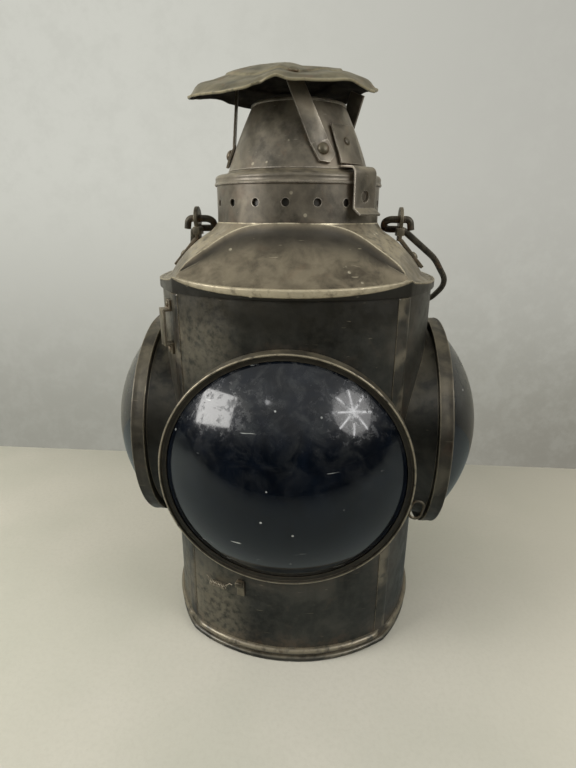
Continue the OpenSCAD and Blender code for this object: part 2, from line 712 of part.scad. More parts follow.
module hood_brim() {
    color(worn) rotate_extrude() difference() {
        union() {
            translate([cone_foot_r - 2, brim_z]) square([brim_r - brim_corner - cone_foot_r + 2, 6.2]);
            translate([cone_foot_r, brim_z]) square([brim_r - cone_foot_r, 3.2]);
            translate([brim_r - brim_corner, brim_z + 3.2]) circle(r = brim_corner, $fn = 64);
            polygon([[cone_foot_r - 2, brim_z + 6], [brim_r - brim_corner, brim_z + 6],
                     [brim_r - brim_corner, brim_z + 6.2], [cone_foot_r, brim_z + 8.2 - 0.05],
                     [cone_foot_r - 2, brim_z + 8.2 - 0.05]]);
        }
        translate([0, brim_z - 1]) square([brim_r - brim_corner, 6.2 - brim_wall + 1]);
        translate([0, brim_z - 1]) square([brim_r - brim_wall, 4.2]);
        translate([brim_r - brim_corner, brim_z + 3.2]) circle(r = brim_corner - brim_wall, $fn = 64);
        polygon([[0, brim_z + 4], [brim_r - brim_corner, brim_z + 4],
                 [brim_r - brim_corner, brim_z + 6.2 - brim_wall], [cone_foot_r, brim_z + 8.1 - brim_wall],
                 [0, brim_z + 8.1 - brim_wall]]);
        translate([0, brim_z - 1]) square([cone_foot_r - 1.6, 20]);
    }
}

module hood_cone() {
    heights = [for (i = [0:6]) i * cone_h / 6];
    color(worn) rotate_extrude() {
        polygon(concat(
            [for (h = heights) [cone_r(h), cone_z0 + h]],
            [for (i = [6:-1:0]) [cone_r(heights[i]) - sheet, cone_z0 + heights[i]]]));
        translate([cone_mouth_r - 0.2, cone_z0 + cone_h]) circle(r = 1.1, $fn = 24);
    }
}

// A point on the cone's skin and the slope there
cone_slope = atan((cone_foot_r - cone_mouth_r) / cone_h);
plate_top_h = 23;
plate_foot_h = 2.2;
plate_t = 1.2;

module latch_plate() {
    mid = (plate_top_h + plate_foot_h) / 2;
    half = (plate_top_h - plate_foot_h) / 2 / cos(cone_slope);
    color(worn) at_az(latch_az, cone_r(mid), cone_z0 + mid) rotate([0, -cone_slope, 0]) difference() {
        translate([0.15, -latch_w / 2, -half]) cube([plate_t, latch_w, 2 * half]);
        translate([-1, 0, 2]) rotate([0, 90, 0]) cylinder(r = 1.6, h = 4, $fn = 24);
    }
}

strap_h = strap_foot_z - cone_z0;
STRAPS = [22.4, -84, 142.4];
strap_lean = 24;

// Height of the crown's top face before its thickness, by radius and azimuth round its own middle
function dent(a, at, wide) = let (d = abs(a - at) > 180 ? 360 - abs(a - at) : abs(a - at)) exp(-pow(d / wide, 2));
function rim_z(a) = crown_rim_z + 1.2 - 3.2 * cos(a) + 3.4 * dent(a, 3, 9) + 3 * dent(a, 76, 12)
    + 1.6 * dent(a, 45, 14) - 1.8 * dent(a, -30, 16) + 2.5 * dent(a, -118, 22) + 2.5 * dent(a, 122, 22);
crown_flat_z = crown_z - 2.6;
function crown_top(r, a) = r <= crown_flat_r
    ? crown_z - 2.6 * pow(r / crown_flat_r, 2)
    : let (s = (r - crown_flat_r) / (crown_r - crown_flat_r)) mix(crown_flat_z, rim_z(a), 0.7 * s + 0.3 * s * s);

module crown_cap() {
    count = 64;
    radii = [12, 24, 31, 34, 37, 41, 46, 51, crown_r];
    n = len(radii);
    top = [for (i = [0:count - 1], r = radii) let (a = i * 360 / count, d = az_dir(a))
        [d[0] * r, d[1] * r, crown_top(r, a > 180 ? a - 360 : a)]];
    under = [for (p = top) [p[0], p[1], p[2] - crown_t]];
    pts = concat(top, under, [[0, 0, crown_z], [0, 0, crown_z - crown_t]]);
    m = count * n;
    faces = [for (i = [0:count - 1]) let (k = (i + 1) % count) each concat(
        [for (j = [0:n - 2]) each [[i * n + j, k * n + j + 1, i * n + j + 1], [i * n + j, k * n + j, k * n + j + 1]]],
        [for (j = [0:n - 2]) each [[m + i * n + j, m + i * n + j + 1, m + k * n + j + 1],
                                   [m + i * n + j, m + k * n + j + 1, m + k * n + j]]],
        [[i * n + n - 1, m + k * n + n - 1, m + i * n + n - 1], [i * n + n - 1, k * n + n - 1, m + k * n + n - 1],
         [2 * m, k * n, i * n], [2 * m + 1, m + i * n, m + k * n]])];
    color(pale) translate([crown_shift, 0, 0]) polyhedron(pts, faces);
}

// Top of a crown strap: radius from the lamp's axis and the height just under the crown there
strap_top_r = 40;
function crown_polar(p) = let (x = p[0] - crown_shift, y = p[1]) [norm([x, y]), atan2(x, -y)];
function under_crown(r, a) = let (q = crown_polar(az_dir(a) * r)) crown_top(q[0], q[1]) - crown_t;

module crown_strap(a) {
    top_az = a - strap_lean;
    foot_r = cone_r(strap_h) + 0.25;
    z_top = min(under_crown(strap_top_r + 0.8, top_az + 8), under_crown(strap_top_r + 0.8, top_az - 8)) - 1.5;
    side = strap_top_r * sin(strap_lean);
    out = strap_top_r * cos(strap_lean) - foot_r;
    rise = z_top - strap_foot_z;
    lean = asin(side / norm([side, out, rise]));
    // The leg leaves the cone this far above the rivet
    up = 4.4;
    leg = [out + up * sin(cone_slope) * cos(lean), side - up * sin(lean), rise - up * cos(cone_slope) * cos(lean)];
    span = norm(leg);
    leg_lean = asin(leg[1] / span);
    fall = atan2(leg[0], leg[2]);
    color(worn) at_az(a, foot_r, strap_foot_z) {
        difference() {
            rotate([lean, -cone_slope, 0]) rotate([90, 0, 90]) linear_extrude(strap_t)
                polygon([[-strap_w / 2, up + 0.6], [-strap_w / 2, -5], [0, -8], [strap_w / 2, -5], [strap_w / 2, up + 0.6]]);
            rotate([0, 90 - cone_slope, 0]) translate([0, 0, -2]) cylinder(r = 1.9, h = 6, $fn = 24);
        }
        translate([-up * sin(cone_slope) * cos(lean), -up * sin(lean), up * cos(cone_slope) * cos(lean)])
            rotate([leg_lean, fall, 0]) translate([0, -strap_w / 2, 0]) cube([strap_t, strap_w, span]);
    }
}

module hood_rivets() {
    color(worn) {
        for (a = STRAPS) at_az(a, cone_r(strap_h) + 0.15, strap_foot_z) rotate([0, 90 - cone_slope, 0]) {
            cylinder(r = 1.8, h = strap_t + 0.6, $fn = 24);
            translate([0, 0, strap_t + 0.4]) rivet_head(3.3, 2.2);
        }
        at_az(latch_az, cone_r(plate_rivet_h) + 0.15, cone_z0 + plate_rivet_h) rotate([0, 90 - cone_slope, 0]) {
            cylinder(r = 1.5, h = plate_t + 0.3, $fn = 24);
            translate([0, 0, plate_t + 0.15]) rivet_head(2.4, 1.2);
        }
    }
}

module crown_rivets() {
    color(pale) for (a = STRAPS) {
        p = az_dir(a - strap_lean) * 34;
        q = crown_polar(p);
        tilt = atan(crown_top(q[0] - 1, q[1]) - crown_top(q[0] + 1, q[1])) / 2;
        translate([p[0], p[1], crown_top(q[0], q[1]) + 0.3])
            rotate([0, 0, q[1] - 90]) rotate([0, tilt, 0]) rivet_head(2.8, 1.4);
    }
}

module draft_baffle() {
    baffle_h = 5;
    edge_r = cone_r(baffle_h + 2.4) - sheet - 0.25;
    color(black) difference() {
        union() {
            translate([0, 0, cone_z0 + baffle_h]) cylinder(r = edge_r, h = sheet);
            translate([0, 0, cone_z0 + baffle_h]) cylinder(r = 17, h = 7);
        }
        translate([0, 0, cone_z0]) cylinder(r = 15.8, h = 20);
        for (i = [0:11]) rotate([0, 0, i * 30]) translate([28, 0, cone_z0]) cylinder(r = 4.5, h = 20, $fn = 32);
    }
}

// Latch: its strap hangs from a round edge just below the plate and bends round it

latch_pivot_r = cone_r(0.9) + 1;
latch_pivot_z = cone_z0 + 1.1;
strap_bend = [latch_in_r - 3, brim_z + 5.2];
lip_z = brim_z - 12.5;
button_z = brim_z - 6.5;
button_r = 2.4;

module latch_strap() {
    in_r = latch_in_r;
    color(worn) difference() {
        at_az(latch_az) rotate([90, 0, 0]) translate([0, 0, -latch_w / 2]) union() {
            translate([latch_pivot_r, latch_pivot_z, 0]) cylinder(r = latch_t / 2, h = latch_w, $fn = 32);
            linear_extrude(latch_w) polygon(concat(
                [[latch_pivot_r + 0.1, latch_pivot_z + latch_t / 2 - 0.15]],
                [for (t = [90:-10:0]) strap_bend + (3 + latch_t) * [cos(t), sin(t)]],
                [[in_r + latch_t, lip_z], [in_r + 5.6, lip_z - 3.2], [in_r + 5, lip_z - 4.2], [in_r, lip_z - 0.6]],
                [for (t = [0:15:90]) strap_bend + 3 * [cos(t), sin(t)]],
                [[latch_pivot_r + 0.1, latch_pivot_z - latch_t / 2 + 0.15]]));
        }
        at_az(latch_az, 40, button_z) rotate([0, 90, 0]) cylinder(r = button_r + 0.7, h = 40, $fn = 48);
    }
}

module latch_button() {
    color(worn) at_az(latch_az, collar_r + seat_gap, button_z) rotate([0, 90, 0])
        cylinder(r = button_r, h = latch_in_r - 0.3 - collar_r - seat_gap, $fn = 48);
}

// Oil pot and burner

pot_z0 = 5.3;
pot_top_z = pot_z0 + pot_h;
pot_neck_r = 15;
collar_z1 = pot_top_z + 8;

module pot_seat() {
    color(black) difference() {
        union() {
            tube(pot_r + 3, pot_r - 8, sheet + 0.05, pot_z0 - 0.3);
            tube(pot_r + 1.9, pot_r + 0.7, sheet + 0.05, 16);
        }
        for (i = [0:3]) rotate([0, 0, 45 + i * 90]) translate([pot_r - 4, -9, pot_z0 - 0.2]) cube([12, 18, 20]);
    }
}

// The filler stands beside the burner's collar, with this gap between the two
filler_gap = 1.785;
collar_out_r = pot_neck_r + 2.4;
filler_at = (collar_out_r + filler_gap + cap_r + 0.6) * [cos(149.744), sin(149.744)];

module oil_pot() {
    color(worn) difference() {
        union() {
            translate([0, 0, pot_z0]) cylinder(r = pot_r, h = pot_h - 6);
            translate([0, 0, pot_top_z - 6]) cylinder(r1 = pot_r, r2 = pot_neck_r + 20, h = 6);
            translate([0, 0, pot_top_z - 1]) cylinder(r = pot_neck_r, h = 5);
            translate([filler_at[0], filler_at[1], pot_top_z - 1]) cylinder(r = cap_r - 2, h = 5);
        }
        translate([0, 0, pot_z0 + pot_wall]) cylinder(r = pot_r - pot_wall, h = pot_h - 6 - pot_wall);
        translate([0, 0, pot_top_z - 6 - eps])
            cylinder(r1 = pot_r - pot_wall, r2 = pot_neck_r + 20 - pot_wall - 1, h = 6 - pot_wall);
        translate([0, 0, pot_top_z - 5]) cylinder(r = pot_neck_r - pot_wall, h = 12);
        translate([filler_at[0], filler_at[1], pot_top_z - 5]) cylinder(r = cap_r - 3, h = 12);
    }
}

module filler_cap() {
    color(brass) translate([filler_at[0], filler_at[1], pot_top_z + 0.3]) difference() {
        union() {
            cylinder(r = cap_r, h = 6.5);
            for (i = [0:17]) rotate([0, 0, i * 20]) translate([cap_r, 0, 0]) cylinder(r = 0.6, h = 6, $fn = 24);
        }
        translate([0, 0, -1]) cylinder(r = cap_r - 2 + run_gap, h = 5);
    }
}

wick_tube_w = wick_w + 0.6;
wick_tube_t = wick_t + 0.6;
tube_wall = 0.9;
wheel_z = collar_z1 + 5;
wheel_y = wick_t / 2 + wheel_r + 0.1;
body_r = 14;
body_z0 = collar_z1 + 0.1;
body_z1 = body_z0 + 10;

module burner_collar() {
    color(brass) difference() {
        translate([0, 0, pot_top_z + 0.1]) cylinder(r = collar_out_r, h = collar_z1 - pot_top_z - 0.1);
        translate([0, 0, pot_top_z]) cylinder(r = pot_neck_r + seat_gap, h = 4.4);
        translate([0, 0, pot_top_z]) cylinder(r = pot_neck_r - 2, h = 20);
        for (i = [0:23]) rotate([0, 0, i * 15]) translate([collar_out_r + 0.3, 0, pot_top_z]) cylinder(r = 0.6, h = 20, $fn = 24);
    }
}

module wick_slot(w, t, z0, z1) {
    translate([-w / 2, -t / 2, z0]) cube([w, t, z1 - z0]);
}

module burner_body() {
    color(brass) difference() {
        translate([0, 0, body_z0]) cylinder(r = body_r, h = body_z1 - body_z0);
        wick_slot(wick_tube_w + 2 * tube_wall + 0.2, wick_tube_t + 2 * tube_wall + 0.2, body_z0 - 1, body_z1 + 1);
        translate([-3, 0, wheel_z - wheel_r - 0.5]) cube([6, wheel_y + wheel_r + 0.5, 2 * wheel_r + 1]);
        translate([0, wheel_y, wheel_z]) rotate([0, 90, 0]) translate([0, 0, -8])
            cylinder(r = shaft_r + run_gap, h = 30, $fn = 48);
    }
}

module wick_tube() {
    color(brass) difference() {
        wick_slot(wick_tube_w + 2 * tube_wall, wick_tube_t + 2 * tube_wall, pot_top_z - 4, burner_top_z - 2.4);
        wick_slot(wick_tube_w, wick_tube_t, pot_top_z - 5, burner_top_z);
        translate([-3, 0, wheel_z - wheel_r - 0.5]) cube([6, 10, 2 * wheel_r + 1]);
    }
}

module wick() {
    color([0.85, 0.82, 0.72]) wick_slot(wick_w, wick_t, pan_h + 11, burner_top_z - 1.4);
}

module wick_wheel() {
    color(brass) translate([0, wheel_y, wheel_z]) rotate([0, 90, 0]) {
        translate([0, 0, -1.6]) cylinder(r = wheel_r - 0.5, h = 3.2);
        for (i = [0:15]) rotate([0, 0, i * 22.5]) translate([wheel_r - 0.6, -0.35, -1.6]) cube([0.6, 0.7, 3.2]);
        translate([0, 0, -7]) cylinder(r = shaft_r, h = 43, $fn = 48);
    }
}

module wick_knob() {
    color(brass) translate([36.2, wheel_y, wheel_z]) rotate([0, 90, 0]) {
        difference() {
            union() {
                cylinder(r = 7, h = 2.4);
                for (i = [0:23]) rotate([0, 0, i * 15]) translate([7, 0, 0]) cylinder(r = 0.6, h = 2.4, $fn = 24);
            }
            for (i = [0:5]) rotate([0, 0, i * 60]) translate([4.4, 0, -1]) cylinder(r = 1, h = 5, $fn = 24);
        }
    }
}

gallery_r = 24;
module burner_gallery() {
    color(brass) difference() {
        union() {
            translate([0, 0, body_z1 + 0.1]) cylinder(r = gallery_r, h = 1);
            tube(gallery_r, gallery_r - 1, body_z1 + 0.1, body_z1 + 5);
        }
        wick_slot(wick_tube_w + 2 * tube_wall + 0.2, wick_tube_t + 2 * tube_wall + 0.2, body_z1 - 1, body_z1 + 2);
        for (i = [0:17]) rotate([0, 0, i * 20]) translate([gallery_r - 4.5, 0, body_z1])
            cylinder(r = 1.5, h = 3, $fn = 24);
    }
}

module burner_deflector() {
    z0 = body_z1 + 1.2;
    color(brass) difference() {
        rotate_extrude() difference() {
            intersection() {
                translate([0, z0]) scale([1, 1]) circle(r = burner_top_z - z0);
                translate([0, z0]) square([18, 40]);
            }
            translate([0, z0]) circle(r = burner_top_z - z0 - 0.9);
        }
        wick_slot(wick_tube_w + 2.2, wick_tube_t + 2.6, burner_top_z - 8, burner_top_z + 1);
    }
}

case_body();
case_dome();
vent_collar();
base_pan();
lens_barrel(LENS_AZ[0]);  // lens_barrel_front
lens_barrel(LENS_AZ[1]);  // lens_barrel_right
lens_barrel(LENS_AZ[2]);  // lens_barrel_back
lens_barrel(LENS_AZ[3]);  // lens_barrel_left
lens(LENS_AZ[0]);  // lens_front
lens(LENS_AZ[1]);  // lens_right
lens(LENS_AZ[2]);  // lens_back
lens(LENS_AZ[3]);  // lens_left
lens_ring(LENS_AZ[0]);  // lens_ring_front
lens_ring(LENS_AZ[1]);  // lens_ring_right
lens_ring(LENS_AZ[2]);  // lens_ring_back
lens_ring(LENS_AZ[3]);  // lens_ring_left
ring_loop();
ring_spring();
spring_tab();
latch_button();
hinge_leaf_lower();
hinge_pin();
bail_ear(-1);  // bail_ear_left
bail_ear(1);  // bail_ear_right
ear_rivets();
bracket_loop();
bracket_rivets();
pot_seat();
hood_brim();
hood_cone();
latch_plate();
hood_rivets();
crown_cap();
crown_strap(STRAPS[0]);  // crown_strap_front
crown_strap(STRAPS[1]);  // crown_strap_left
crown_strap(STRAPS[2]);  // crown_strap_right
crown_rivets();
hinge_leaf_upper();
draft_baffle();
latch_strap();
bail();
oil_pot();
burner_collar();
burner_body();
burner_gallery();
burner_deflector();
wick_tube();
wick();
wick_wheel();
wick_knob();
filler_cap();
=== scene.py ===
# Caboose lamp: four-sided painted sheet case, four dark lenses, pressed dome, hinged hood with a battered
# crown, wire bail and a lift-out oil burner. Metres, +Z up, front lens towards -Y.
import json
from math import asin, atan, atan2, ceil, copysign, cos, degrees, exp, floor, hypot, pi, radians, sin, sqrt, tan

import bmesh
import bpy
from mathutils import Matrix, Vector, noise


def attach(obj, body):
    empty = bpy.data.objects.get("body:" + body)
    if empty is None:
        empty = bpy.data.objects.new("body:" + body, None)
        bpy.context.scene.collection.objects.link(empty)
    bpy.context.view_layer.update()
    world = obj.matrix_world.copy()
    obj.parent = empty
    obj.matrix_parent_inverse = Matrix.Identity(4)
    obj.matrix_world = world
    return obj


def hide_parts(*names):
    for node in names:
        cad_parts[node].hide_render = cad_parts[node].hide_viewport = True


MM = 0.001
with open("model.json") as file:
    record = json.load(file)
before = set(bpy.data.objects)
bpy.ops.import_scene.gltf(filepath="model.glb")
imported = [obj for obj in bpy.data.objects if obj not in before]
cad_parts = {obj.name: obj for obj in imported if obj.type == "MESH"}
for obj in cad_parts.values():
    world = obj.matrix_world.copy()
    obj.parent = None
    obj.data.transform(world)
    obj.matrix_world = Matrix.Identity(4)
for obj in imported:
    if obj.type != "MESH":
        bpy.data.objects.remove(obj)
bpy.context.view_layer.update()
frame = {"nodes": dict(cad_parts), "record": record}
scene = bpy.context.scene


# ---- sizes, in millimetres, as in the solids
CASE_R, PANEL_R = 86.2, 103.4
PANEL_OFF = PANEL_R - CASE_R
CORNER_FILLET, SHEET, EASED_EDGE = 1.8, 1.2, 0.28
FOOT_Z, TOP_Z = 4.0, 235.6
BAND_LOW, BAND_TOP = 62.0, 214.0
BEAD_R, BEAD_Z = 2.2, 8.3
LENS_Z, RING_R, RING_BACK, RING_DEPTH = 138.9, 71.0, 86.8, 8.4
GLASS_R, GLASS_BALL, GLASS_BALL_IN = 66.5, 88.7, 82.7
GLASS_STEPS, GLASS_STEPS_R = 7, 60.5
BARREL_R, BARREL_TAPER = 66.0, 0.28
COLLAR_R, COLLAR_FOOT, COLLAR_H = 50.4, 260.0, 35.6
VENTS, VENT_R, VENT_Z, FIRST_VENT = 18, 2.2, 282.0, 5.6
SIDES = {"front": 0, "right": 90, "back": 180, "left": 270}

DOME_TOP, DOME_EDGE, DOME_EDGE_R, DOME_ARC = 268.0, 241.5, 79.5, 66.5
DOME_SQUARE, DOME_FALL = 0.0036, 0.55
HOLE_R, SHELF_Z = COLLAR_R + 0.1, TOP_Z + 0.1
ARCH_TIP, ARCH_Y, ARCH_BEAD, ARCH_CLIMB, ARCH_DISH = 61.2, 45.5, 1.5, 3, 2.4
LIP_IN, SHELF_OUT, SKIRT_OUT, LIP_BULGE, LIP_H, LIP_END = -1.8, 0.1, 1.2, 0.9, 2.4, 64

CONE_Z, CONE_H, CONE_FOOT_R, CONE_TOP_R = 300.0, 36, 43.0, 28.0
CONE_SLOPE = atan((CONE_FOOT_R - CONE_TOP_R) / CONE_H)
STRAP_AT, STRAP_LEAN, STRAP_FOOT = (22.4, -84.0, 142.4), 24.0, 309.0
LATCH_AT, PLATE_RIVET_H = 47.0, 14.6
CROWN_R, CROWN_SHIFT, CROWN_T, CROWN_RIVET_R = 56.0, -8.0, 1.3, 34
BAIL_Z, BAIL_DROOP, BAIL_CLEAR, BAIL_WIRE = 273.0, 35.0, 5, 2.2
EAR_FOOT_R, LOOP_PANEL, LOOP_TURN, LOOP_Z = 72.5, -90, 33, 214
SPRING_TURN, SPRING_Z = -24.5, 51.5


def az_dir(a):
    return Vector((sin(radians(a)), -cos(radians(a)), 0))


def az_of(p):
    return degrees(atan2(p.x, -p.y))


def up(z):
    return Vector((0, 0, z))


def mix(a, b, t):
    return a + (b - a) * t


def ease(lo, hi, x):
    t = min(1.0, max(0.0, (x - lo) / (hi - lo)))
    return t * t * (3 - 2 * t)


def rough(p, size, seed=0.0):
    """Smooth noise from -1 to 1 over lumps of the given size in millimetres."""
    return noise.noise(Vector((p[0] / size + seed, p[1] / size - seed, p[2] / size + 2 * seed)))


def inward(p, depth):
    """A point moved towards the axis."""
    return p - Vector((p.x, p.y, 0)).normalized() * depth


# ---- meshes

def mark_points(obj, name, rule):
    """Writes a float attribute on the points from a rule on their place in millimetres."""
    layer = obj.data.attributes.new(name, "FLOAT", "POINT")
    layer.data.foreach_set("value", [rule(v.co / MM) for v in obj.data.vertices])


def dress(obj, body, slot, node, finish=None, **marks):
    """Gives a mesh its marks, its finish and its body, and hides the solid that it stands for."""
    for name, rule in marks.items():
        mark_points(obj, name, rule)
    obj.data.materials.clear()
    obj.data.materials.append(finish or FINISHES[slot])
    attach(obj, body)
    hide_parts(node)
    return obj


def new_object(name, mesh, sharp=None):
    """A linked object; with sharp, smooth shading that breaks at edges over so many degrees."""
    if sharp is not None:
        mesh.shade_smooth()
        mesh.set_sharp_from_angle(angle=radians(sharp))
    obj = bpy.data.objects.new(name, mesh)
    scene.collection.objects.link(obj)
    return obj


def from_bmesh(name, bm, sharp=40, merge=0.00002, outward=True):
    if merge:
        bmesh.ops.remove_doubles(bm, verts=bm.verts, dist=merge)
    if outward:
        bmesh.ops.recalc_face_normals(bm, faces=bm.faces)
    mesh = bpy.data.meshes.new(name)
    bm.to_mesh(mesh)
    bm.free()
    return new_object(name, mesh, sharp)


def add_grid(bm, rows, close_rows=True, close_cols=False):
    """Adds rows of points in millimetres as quads; a quad that has shrunk to a line is left out."""
    verts = [[bm.verts.new(Vector(p) * MM) for p in row] for row in rows]
    n, m = len(rows), len(rows[0])
    for i in range(n if close_rows else n - 1):
        a, b = verts[i], verts[(i + 1) % n]
        for j in range(m if close_cols else m - 1):
            k = (j + 1) % m
            quad = [a[j], b[j], b[k], a[k]]
            if len({tuple(round(c, 7) for c in v.co) for v in quad}) > 2:
                try:
                    bm.faces.new(quad)
                except ValueError:
                    pass
    return verts


def sheet(name, rows, close_rows=True, close_cols=False, sharp=40, merge=0.00002, marks=()):
    """A mesh from rows of points; with marks, each point is followed by its value for each mark."""
    bm = bmesh.new()
    layers = [bm.verts.layers.float.new(mark) for mark in marks]
    verts = add_grid(bm, [[p[0] for p in row] for row in rows] if marks else rows, close_rows, close_cols)
    if marks:
        for row, line in zip(rows, verts):
            for p, v in zip(row, line):
                for layer, value in zip(layers, p[1:]):
                    v[layer] = value
    return from_bmesh(name, bm, sharp, merge)


def lathe(name, profile, steps, sharp=40, place=None, worn=None):
    """A closed [radius, height] profile in millimetres turned round an axis, worn and then moved."""
    rows = []
    for i in range(steps):
        a = 2 * pi * i / steps
        row = [Vector((r * cos(a), r * sin(a), h)) for r, h in profile]
        if worn:
            row = [worn(p) for p in row]
        rows.append([place(p) for p in row] if place else row)
    return sheet(name, rows, True, True, sharp)


def arc(cx, cz, r, a0, a1, n):
    turns = [radians(mix(a0, a1, i / n)) for i in range(n + 1)]
    return [(cx + r * cos(t), cz + r * sin(t)) for t in turns]


def to_lens(side):
    """Moves a point drawn along +Z to the outward axis of a lens."""
    turn = Matrix.Rotation(radians(SIDES[side] - 90), 4, "Z") @ Matrix.Rotation(pi / 2, 4, "Y")
    return lambda p: turn @ p + up(LENS_Z)


def from_solid(name, node):
    """A cleaned copy of a solid with its edges eased by a small bevel."""
    bm = bmesh.new()
    bm.from_mesh(frame["nodes"][node].data)
    bmesh.ops.remove_doubles(bm, verts=bm.verts, dist=0.00002)
    bmesh.ops.dissolve_degenerate(bm, edges=bm.edges, dist=0.00001)
    bmesh.ops.dissolve_limit(bm, angle_limit=radians(1.5), verts=bm.verts, edges=bm.edges)
    keen = [e for e in bm.edges if len(e.link_faces) == 2 and e.calc_face_angle(0) > radians(32)]
    bmesh.ops.bevel(bm, geom=keen, offset=EASED_EDGE * MM, offset_type="OFFSET", segments=2, profile=0.5,
                    affect="EDGES", clamp_overlap=True)
    return from_bmesh(name, bm, 35, merge=0.000005, outward=False)


def joined(name, parts):
    """One mesh object out of several."""
    bm = bmesh.new()
    for part in parts:
        bm.from_mesh(part.data)
        bpy.data.objects.remove(part)
    return from_bmesh(name, bm, 50, merge=0, outward=False)


def plain_copy(obj, sharp):
    """Puts the plain mesh that an object's modifier makes in the object's place."""
    bpy.context.view_layer.update()
    ready = obj.evaluated_get(bpy.context.evaluated_depsgraph_get())
    mesh, name = bpy.data.meshes.new_from_object(ready), obj.name
    obj.modifiers.clear()
    bpy.data.objects.remove(obj)
    mesh.name = name
    return new_object(name, mesh, sharp)


def turn_dark(obj, finish):
    """Gives the faces that are marked fully in painted shade a finish of their own."""
    obj.data.materials.append(finish)
    dark = [d.value for d in obj.data.attributes["dark"].data]
    for face in obj.data.polygons:
        face.material_index = int(min(dark[i] for i in face.vertices) > 0.99)


# ---- finishes

def linear(code):
    c = [int(code[i:i + 2], 16) / 255 for i in (1, 3, 5)]
    return tuple(x / 12.92 if x <= 0.04045 else ((x + 0.055) / 1.055) ** 2.4 for x in c) + (1.0,)


class Nodes:
    """Adds nodes to a tree by their type and joins them."""

    def __init__(self, tree):
        self.tree = tree

    def add(self, kind, sockets=None, out=0, **settings):
        """A new node with its settings and inputs; gives back one of its outputs."""
        node = self.tree.nodes.new(kind)
        for key, value in settings.items():
            setattr(node, key, value)
        for key, value in (sockets or {}).items():
            self.put(node.inputs[key], value)
        return node.outputs[out]

    def put(self, socket, value):
        """An input takes the output of another node, a plain value, or a colour written as #rrggbb."""
        if isinstance(value, bpy.types.NodeSocket):
            self.tree.links.new(value, socket)
        else:
            socket.default_value = linear(value) if str(value).startswith("#") else value


class Finish(Nodes):
    """A material with the patterns that the lamp's finishes share; sizes are in millimetres."""

    def __init__(self, name):
        self.material = bpy.data.materials.new(name)
        self.material.use_nodes = True
        super().__init__(self.material.node_tree)
        self.shader = self.tree.nodes["Principled BSDF"]
        self.place = self.add("ShaderNodeTexCoord", out="Object")

    def shade(self, **sockets):
        for key, value in sockets.items():
            self.put(self.shader.inputs[key.replace("_", " ")], value)
        return self.material

    def stretched(self, *scale):
        return self.add("ShaderNodeMapping", {"Vector": self.place, "Scale": scale})

    def noise(self, size, detail=6.0, roughness=0.55, warp=0.0, place=None):
        """Noise with lumps of the given size."""
        return self.add("ShaderNodeTexNoise", {
            "Vector": place or self.place, "Scale": 1000.0 / size, "Detail": detail,
            "Roughness": roughness, "Distortion": warp}, "Fac")

    def specks(self, size, reach):
        """Small round specks: 1 inside a speck, 0 outside."""
        cells = self.add("ShaderNodeTexVoronoi", {"Vector": self.place, "Scale": 1000.0 / size}, "Distance")
        return self.ramp(cells, reach * 0.6, reach, 1.0, 0.0)

    def ramp(self, value, lo, hi, to_lo=0.0, to_hi=1.0):
        return self.add("ShaderNodeMapRange", {
            "Value": value, "From Min": lo, "From Max": hi, "To Min": to_lo, "To Max": to_hi},
            interpolation_type="SMOOTHSTEP")

    def fold(self, kind, values):
        total = values[0]
        for value in values[1:]:
            total = self.add("ShaderNodeMath", {0: total, 1: value}, operation=kind, use_clamp=True)
        return total

    def times(self, *values):
        return self.fold("MULTIPLY", values)

    def plus(self, *values):
        return self.fold("ADD", values)

    def most(self, *values):
        return self.fold("MAXIMUM", values)

    def blend(self, share, a, b):
        return self.add("ShaderNodeMix", {0: share, 6: a, 7: b}, 2, data_type="RGBA")

    def facing(self):
        return self.add("ShaderNodeNewGeometry", out="Normal")

    def part(self, vector, axis):
        return self.add("ShaderNodeSeparateXYZ", {0: vector}, axis)

    def mark(self, name):
        return self.add("ShaderNodeAttribute", out="Fac", attribute_name=name)

    def crevice(self, reach):
        """0 in the open, 1 deep in a corner."""
        open_to_air = self.add("ShaderNodeAmbientOcclusion", {"Distance": reach * MM}, "AO", samples=4)
        return self.ramp(open_to_air, 0.35, 0.95, 1.0, 0.0)

    def edge(self, reach):
        """1 on the keen edges, 0 on the flat."""
        soft = self.add("ShaderNodeBevel", {"Radius": reach * MM}, samples=4)
        same = self.add("ShaderNodeVectorMath", {0: soft, 1: self.facing()}, "Value", operation="DOT_PRODUCT")
        return self.ramp(same, 0.90, 0.995, 1.0, 0.0)

    def relief(self, height, depth):
        self.shade(Normal=self.add("ShaderNodeBump", {
            "Strength": 1.0, "Distance": depth * MM, "Height": height}))


